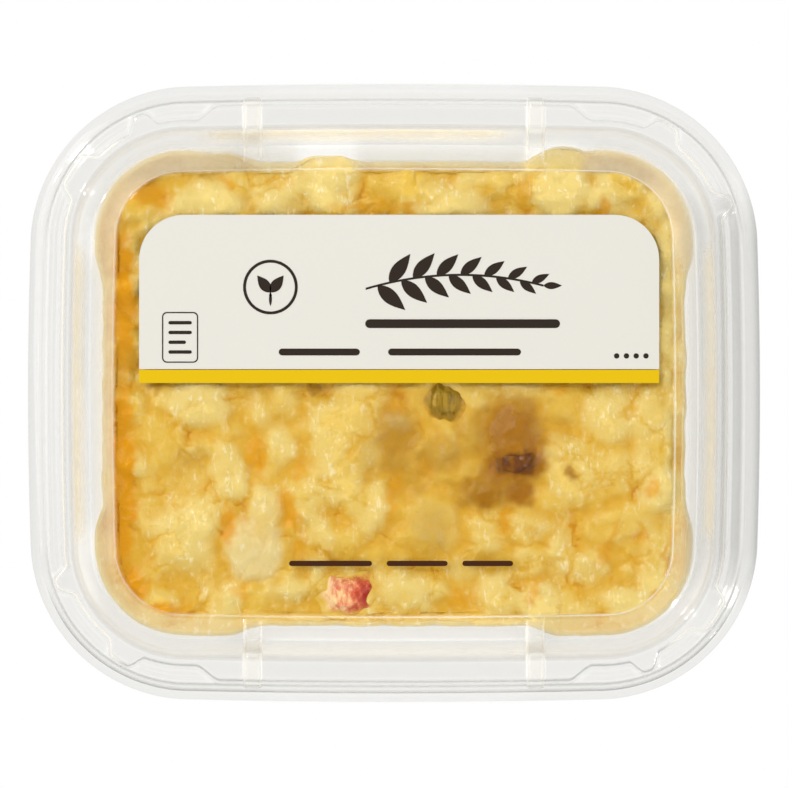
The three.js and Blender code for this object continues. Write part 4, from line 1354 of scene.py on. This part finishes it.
def lid_fog(x, y, inset):
    """Warm fog at the corners of the wet strip, partly dressing on the lid and partly a painted reflection
    of the salad, and painted reflections of the salad in bands along the slope and the valley.
    """
    at_left, at_right = left_and_right(x, y)
    from_corner = smooth_step(21, 33, np.abs(y)) * smooth_step(22, 46, np.abs(x))
    wet = level(inset, FOG) * mix(0.15, 1.0, from_corner) * mix(0.25, 0.8, smooth_step(-20, 20, y))
    along_back = smooth_step(30, 40, y) * (1 - smooth_step(26, 34, np.abs(x + 8)))
    along_ends = smooth_step(55, 60, np.abs(x)) * (1 - smooth_step(26, 32, np.abs(y)))
    # Painted reflections of the salad: a band along the slope, strongest at the back and the ends, and a
    # thin line at the front.
    slope = band(inset, 9.4, 9.8, 11.4, 11.8) * (0.03 + 0.5 * np.maximum(along_back, along_ends))
    front_line = band(inset, 9.9, 10.2, 10.7, 11.0) * smooth_step(40, 48, -y)
    return np.maximum.reduce([
        wet * beside_lumps(x, y),
        slope,
        0.4 * at_left * band(inset, 15.2, 15.6, 17.2, 17.5),
        0.75 * at_right * band(inset, 13.4, 14.4, 15.2, 15.6),
        0.25 * front_line * (1 - smooth_step(36, 44, np.abs(x))),
    ])


def lid_white(x, y, inset, from_step):
    """Painted highlights: white along the folds and ribs, and along the step of the ledge at the two ends.
    """
    _, at_right = left_and_right(x, y)
    off_rib = np.abs(np.abs(x) - RIB["middle"])
    on_rib = smooth_step(2.6, 3.2, inset) * (1 - smooth_step(13.8, 14.4, inset)) * (np.abs(y) > 40)
    return np.maximum.reduce([
        level(inset, OUTER_FOLD) * mix(1, 2.6, at_right),
        level(inset, INNER_FOLD) * mix(0.75, 1.6, smooth_step(-20, 40, x)),
        np.interp(off_rib, [0, 1.4, 1.65, 1.85, 2.0], [0.2, 0.2, 0.7, 0.5, 0.0]) * on_rib,
        np.interp(from_step, [0, 0.4], [0.9, 0.0]) * smooth_step(54, 58, np.abs(x)),
    ])


def lid_grey(x, y, inset, from_step):
    """Painted shade: grey lines near the rim, the shade of each side, a line along the ledge's step, and a
    faint grey over the middle of each side's inner slope.
    """
    at_left, at_right = left_and_right(x, y)
    by_lumps = beside_lumps(x, y)
    back = level(inset, BACK_SHADE) * smooth_step(40, 46, y)
    step = np.interp(from_step, [0, 0.35], [0.4, 0.0]) * mix(0.35, 1.0, smooth_step(-10, -40, y))
    open_side = np.minimum(np.abs(x) / 34, 2) * (np.abs(y) > 30) + np.abs(y) / 28 * (np.abs(y) <= 30)
    veil = level(inset, VEIL) * (1 - smooth_step(0.85, 1.1, open_side))
    return np.maximum.reduce([
        level(inset, WALL_LINE) * smooth_step(25, 45, np.abs(y)),
        level(inset, EDGE_LINE) * smooth_step(-38, -50, y),
        level(inset, RIGHT_SHADE) * at_right,
        level(inset, LEFT_SHADE) * at_left,
        back * np.where(inset > 13, by_lumps, 1),
        level(inset, FRONT_SHADE) * smooth_step(40, 46, -y),
        step * (1 - smooth_step(54, 58, np.abs(x))),
        veil * by_lumps,
    ])


def lid_marks(points):
    x, y = points[:, 0], points[:, 1]
    inset = inset_at(x, y)
    step_edge = mix(4.4, LEDGE_INNER + 1.1, ledge_share(lid_stations))
    rows = (len(points) - 2) // lid_stations.count
    from_step = np.abs(inset - np.append(np.tile(step_edge, rows), [FAR_OFF, FAR_OFF]))
    fog = lid_fog(x, y, inset)
    return np.stack([fog, lid_white(x, y, inset, from_step), lid_grey(x, y, inset, from_step)], -1)


def tub_marks(points):
    """Painted shade on the tub: grey on its flange, most at the right, and a little on its shoulder at
    front and back.
    """
    x, y = points[:, 0], points[:, 1]
    inset = inset_at(x, y)
    at_side = 1 - smooth_step(30, 46, np.abs(y))
    on_lip = 0.09 + 0.05 * at_side * (x < 0) + 0.27 * at_side * (x > 0)
    grey = mix(0.06, on_lip, 1 - smooth_step(1.8, 2.2, inset)) * (1 - smooth_step(3.0, 4.0, inset))
    on_shoulder = smooth_step(11.5, 12.5, inset) * smooth_step(30, 40, np.abs(y))
    shoulder = 0.12 * on_shoulder * smooth_step(30, 40, points[:, 2]) * beside_lumps(x, y)
    return np.stack([0 * grey, 0 * grey, np.maximum(grey, shoulder)], -1)


for made, marks_at in ((lid, lid_marks), (tub, tub_marks)):
    marks = marks_at(points_of(made))
    store(made, "marks", "FLOAT_VECTOR", marks)
    print(made.name, "strongest fog, white and grey:", marks.max(axis=0).round(2).tolist())
for made, node, slot, material in (
    (tub, "tub", "clear_plastic", plastic),
    (lid, "lid", "clear_plastic", plastic),
    (film, "label_film", "clear_film", clear_film),
):
    made.data.materials.append(material)
    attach(made, "root")
    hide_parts(node)

# %% [markdown]
# ## Printed parts of the label
#
# The field and the band are flat prints, and their CAD shapes are right, so they only get inks.
# The dark motifs on the field and on the clear film are thin layers of ink: a sprig of leaves,
# plain bars, a ring with a sprout, a small framed box and four dots.

# %% Inks
def ink_finish(name, colour, sheen):
    material, net = new_material(name)
    fibre = net.noise(0.7, 3, 0.6)
    slow = net.noise(14, 2)
    uneven_ink = (fibre - 0.5) * 0.12 + (slow - 0.5) * 0.1 + 0.1
    shade = net.blend(uneven_ink, colour, tuple(0.86 * value for value in colour))
    rough = sheen + (fibre - 0.5) * 0.1
    shader = net.add("ShaderNodeBsdfPrincipled", None, {
        "Base Color": shade, "Roughness": rough, "Normal": net.bump(fibre, 0.08, 0.05), "IOR": 1.25,
    })[0]
    finish_surface(net, shader)
    return material


cream_ink = ink_finish("cream ink", linear(221, 218, 209), 0.5)
yellow_ink = ink_finish("yellow ink", linear(223, 184, 0), 0.5)
dark_ink = ink_finish("dark ink", linear(44, 34, 26), 0.5)
brown_ink = ink_finish("brown ink", linear(64, 30, 10), 0.5)
for node, ink in (("label_field", cream_ink), ("label_band", yellow_ink)):
    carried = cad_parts[node]
    carried.data.materials.clear()
    carried.data.materials.append(ink)

# %% Thin prints
INK = 0.05
ON_FIELD = PANEL + FILM + PRINT
ON_FILM = PANEL + FILM + 0.02


def prism(shape, base, points, faces):
    """Adds a thin closed prism over an outline, a list of points in the plan."""
    start, count = len(points), len(shape)
    points += [(x, y, base) for x, y in shape] + [(x, y, base + INK) for x, y in shape]
    faces.append([start + count + step for step in range(count)])
    faces.append([start + step for step in reversed(range(count))])
    for step in range(count):
        beside = (step + 1) % count
        faces.append([start + step, start + beside, start + count + beside, start + count + step])


def hoop(outer, inner, base, points, faces):
    """Adds a thin closed band between two outlines with the same number of points."""
    start, count = len(points), len(outer)
    for shape, z in ((outer, base), (outer, base + INK), (inner, base + INK), (inner, base)):
        points += [(x, y, z) for x, y in shape]
    for row in range(4):
        for step in range(count):
            here, there = start + row * count, start + (row + 1) % 4 * count
            beside = (step + 1) % count
            faces.append([here + step, here + beside, there + beside, there + step])


def flat_print(name, base, material, shapes=(), hoops=()):
    points, faces = [], []
    for shape in shapes:
        prism(shape, base, points, faces)
    for outer, inner in hoops:
        hoop(outer, inner, base, points, faces)
    made = new_object(name, points, faces, smooth=False)
    made.data.materials.append(material)
    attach(made, "root")
    describe(made)


def bar(x0, x1, y, thickness):
    radius = thickness / 2
    turns = np.linspace(-math.pi / 2, math.pi / 2, 8)
    right = [(x1 - radius + radius * math.cos(a), y + radius * math.sin(a)) for a in turns]
    left = [(x0 + radius - radius * math.cos(a), y - radius * math.sin(a)) for a in turns]
    return right + left


def ring(x, y, radius, steps=48):
    turns = np.arange(steps) * 2 * math.pi / steps
    return [(x + radius * math.cos(a), y + radius * math.sin(a)) for a in turns]


def rounded_box(x, y, half_x, half_y, radius, steps=6):
    shape = []
    for quarter, (side_x, side_y) in enumerate(((1, 1), (-1, 1), (-1, -1), (1, -1))):
        for share in range(steps + 1):
            turn = math.radians(90 * (quarter + share / steps))
            shape.append((x + side_x * (half_x - radius) + radius * math.cos(turn),
                          y + side_y * (half_y - radius) + radius * math.sin(turn)))
    return shape


def leaf(length, width, steps=12):
    """A pointed leaf along +X, from its stalk at the origin."""
    shares = np.linspace(0, 1, steps + 1)
    edge = [(length * s, 0.5 * width * math.sin(math.pi * s ** 0.8)) for s in shares]
    return edge[::-1] + [(x, -y) for x, y in edge[1:-1]]


def put(shape, x, y, degrees):
    c, s = math.cos(math.radians(degrees)), math.sin(math.radians(degrees))
    return [(x + px * c - py * s, y + px * s + py * c) for px, py in shape]


# %% Bars, badge, box and dots
BADGE_X, BOX_X = -25.3, -43.8
bars = [bar(-23.6, -7.0, 8.4, 1.4), bar(-1.2, 26.0, 8.4, 1.4), bar(-5.9, 34.0, 14.2, 1.8)]
sprout = [put(leaf(4.4, 2.2), BADGE_X, 20.6, 128), put(leaf(4.4, 2.2), BADGE_X, 20.6, 52)]
sprout += [bar(-25.6, -25.0, 20.0, 0.6), put(leaf(3.4, 0.6), BADGE_X, 17.8, 90)]
BOX_LINES = ((-41.4, 14.4), (-41.4, 12.4), (-42.6, 10.4), (-41.4, 8.4))
box_lines = [bar(-46.2, end, y, 0.7) for end, y in BOX_LINES]
dots = [ring(x, 7.6, 0.55, 16) for x in (45.6, 47.6, 49.6, 51.6)]
hoops = [(ring(BADGE_X, 21.7, 5.6), ring(BADGE_X, 21.7, 5.0)),
         (rounded_box(BOX_X, 11.4, 3.7, 5.2, 1.0), rounded_box(BOX_X, 11.4, 3.45, 4.95, 0.8))]
flat_print("field_motifs", ON_FIELD, dark_ink, bars + sprout + box_lines + dots, hoops)
film_bars = [bar(start, end, -34.9, 1.1) for start, end in ((-21.5, -4.5), (-1.5, 11.0), (14.0, 24.4))]
flat_print("film_bars", ON_FILM, brown_ink, film_bars)

# %% [markdown]
# The sprig is one printed leaf, set again and again along a curved stem by a Geometry Nodes tree.
# It takes the number of leaves, the stem's length and bow, and how far the leaves spread and shrink.

# %% Sprig of leaves
STEM_LENGTH, STEM_BOW = 34, 2.2
SPRIG_MIDDLE = (13.6, 22.0, ON_FIELD)


def leaves_on_stem(net):
    stem, leaf_object, leaves, length, bow, spread, shrink, material = net.add("NodeGroupInput")[:8]
    line = net.add("GeometryNodeMeshLine", None, {0: leaves})[0]
    index = net.add("GeometryNodeInputIndex")[0]
    share = index / (leaves - 1.0)
    swing = share * 2.0 - 1.0
    along, across = swing * length * 0.5, (1.0 - swing * swing) * bow
    place = net.add("ShaderNodeCombineXYZ", None, {0: along, 1: across})[0]
    placed = net.add("GeometryNodeSetPosition", None, {0: line, 2: place})[0]
    side = net.math("MODULO", index, 2.0) * 2.0 - 1.0
    lean = side * spread * (1.0 - share * 0.35) - swing * 0.13
    lean = lean * (1.0 - net.math("GREATER_THAN", share, 0.99))
    turn = net.add("ShaderNodeCombineXYZ", None, {2: lean})[0]
    leaf_shape = net.add("GeometryNodeObjectInfo", None, {0: leaf_object})[4]
    sockets = {0: placed, 2: leaf_shape, 5: turn, 6: 1.0 - share * shrink}
    grown = net.add("GeometryNodeInstanceOnPoints", None, sockets)[0]
    both = net.tree.nodes.new("GeometryNodeJoinGeometry")
    for part in (stem, grown):
        net.tree.links.new(part.socket, both.inputs[0])
    net.end_tree(Value(net, both.outputs[0]), material)


def make_sprig():
    points, faces = [], []
    prism(leaf(7.6, 2.9), 0, points, faces)
    one_leaf = new_object("one_leaf", points, faces, smooth=False)
    points, faces = [], []
    bow = [(STEM_LENGTH / 2 * s, STEM_BOW * (1 - s * s)) for s in np.linspace(-1.14, 1, 24)]
    prism([(x, y + 0.22) for x, y in bow[::-1]] + [(x, y - 0.22) for x, y in bow], 0, points, faces)
    made = new_object("sprig", points, faces, smooth=False)
    run_tree(made, "sprig of leaves", leaves_on_stem, [
        ("Leaf", "Object", one_leaf), ("Leaves", "Int", 15), ("Length", "Float", STEM_LENGTH * MM),
        ("Bow", "Float", STEM_BOW * MM), ("Spread", "Float", 0.85), ("Shrink", "Float", 0.5),
        ("Material", "Material", dark_ink),
    ], smooth=False)
    bpy.data.objects.remove(one_leaf)
    made.data.transform(Matrix.Translation(Vector(SPRIG_MIDDLE) * MM))
    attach(made, "root")
    describe(made)


make_sprig()

# %% [markdown]
# ## Floor, light and camera
#
# The pack lies on a pale light table, under even light from all sides, a little stronger from the
# left. Straight overhead it is dark, where the camera hangs, so that the flat panel mirrors nothing
# bright. The camera itself sees the world white, so that no horizon shows behind the floor.

# %% Floor
FLOOR_HALF, FLOOR_TOP = 2500, -0.02


def make_floor():
    corners = ((-1, -1), (1, -1), (1, 1), (-1, 1))
    points = [(x * FLOOR_HALF, y * FLOOR_HALF, FLOOR_TOP) for x, y in corners]
    made = new_object("floor", points, [(0, 1, 2, 3)], smooth=False)
    material, net = new_material("pale floor")
    finish_surface(net, net.add("ShaderNodeEmission", None, {"Color": WHITE, "Strength": 1.0})[0])
    made.data.materials.append(material)


make_floor()

# %% Light
OVERHEAD, BRIGHT_SIDE, DIM_SIDE = (0.02, 0.02, 0.02), (0.82, 0.82, 0.82), (0.66, 0.66, 0.66)


def make_world():
    world = bpy.data.worlds.new("studio")
    world.use_nodes = True
    world.node_tree.nodes.clear()
    net = Net(world.node_tree)
    sideways, _, up = net.parts(net.add("ShaderNodeTexCoord")[0])
    even = net.blend((sideways + 0.2).ramp(0.0, 1.0), BRIGHT_SIDE, DIM_SIDE)
    sky = net.blend((1.0 - up).ramp(0.02, 0.1), OVERHEAD, even)
    sky = net.blend(net.add("ShaderNodeLightPath")[0], sky, (1.0, 1.0, 1.0))
    surface = net.add("ShaderNodeBackground", None, {0: sky, 1: 1.0})[0]
    net.add("ShaderNodeOutputWorld", None, {"Surface": surface})
    bpy.context.scene.world = world


def soft_light(name, place, size, power):
    """A flat lamp that faces the pack. Its place and size are in metres."""
    data = bpy.data.lights.new(name, "AREA")
    data.shape, data.size, data.size_y, data.energy = "RECTANGLE", size[0], size[1], power
    made = bpy.data.objects.new(name, data)
    made.location = place
    made.rotation_euler = (Vector((0, 0, 0.03)) - Vector(place)).to_track_quat("-Z", "Y").to_euler()
    bpy.context.scene.collection.objects.link(made)


make_world()
soft_light("left", (-0.8, 0.35, 0.75), (0.9, 0.7), 3.4)
soft_light("right", (0.85, 0.1, 0.6), (0.7, 0.7), 1.8)
soft_light("small left", (-0.34, 0.28, 0.8), (0.05, 0.05), 1.4)
soft_light("small right", (0.42, -0.2, 0.8), (0.05, 0.05), 0.9)

# %% Camera
# How wide the view is at the height of the flange, in millimetres.
SEEN_WIDTH = 161.5
CAMERA_LENS, SENSOR = 250.0, 36.0


def make_camera():
    data = bpy.data.cameras.new("camera")
    data.lens, data.sensor_width = CAMERA_LENS, SENSOR
    data.clip_start, data.clip_end = 0.05, 10
    made = bpy.data.objects.new("camera", data)
    distance = SEEN_WIDTH * CAMERA_LENS / SENSOR
    made.location = Vector((0, -0.2, SEAT + distance)) * MM
    bpy.context.scene.collection.objects.link(made)
    bpy.context.scene.camera = made


make_camera()
bpy.context.scene.view_settings.view_transform = "Standard"
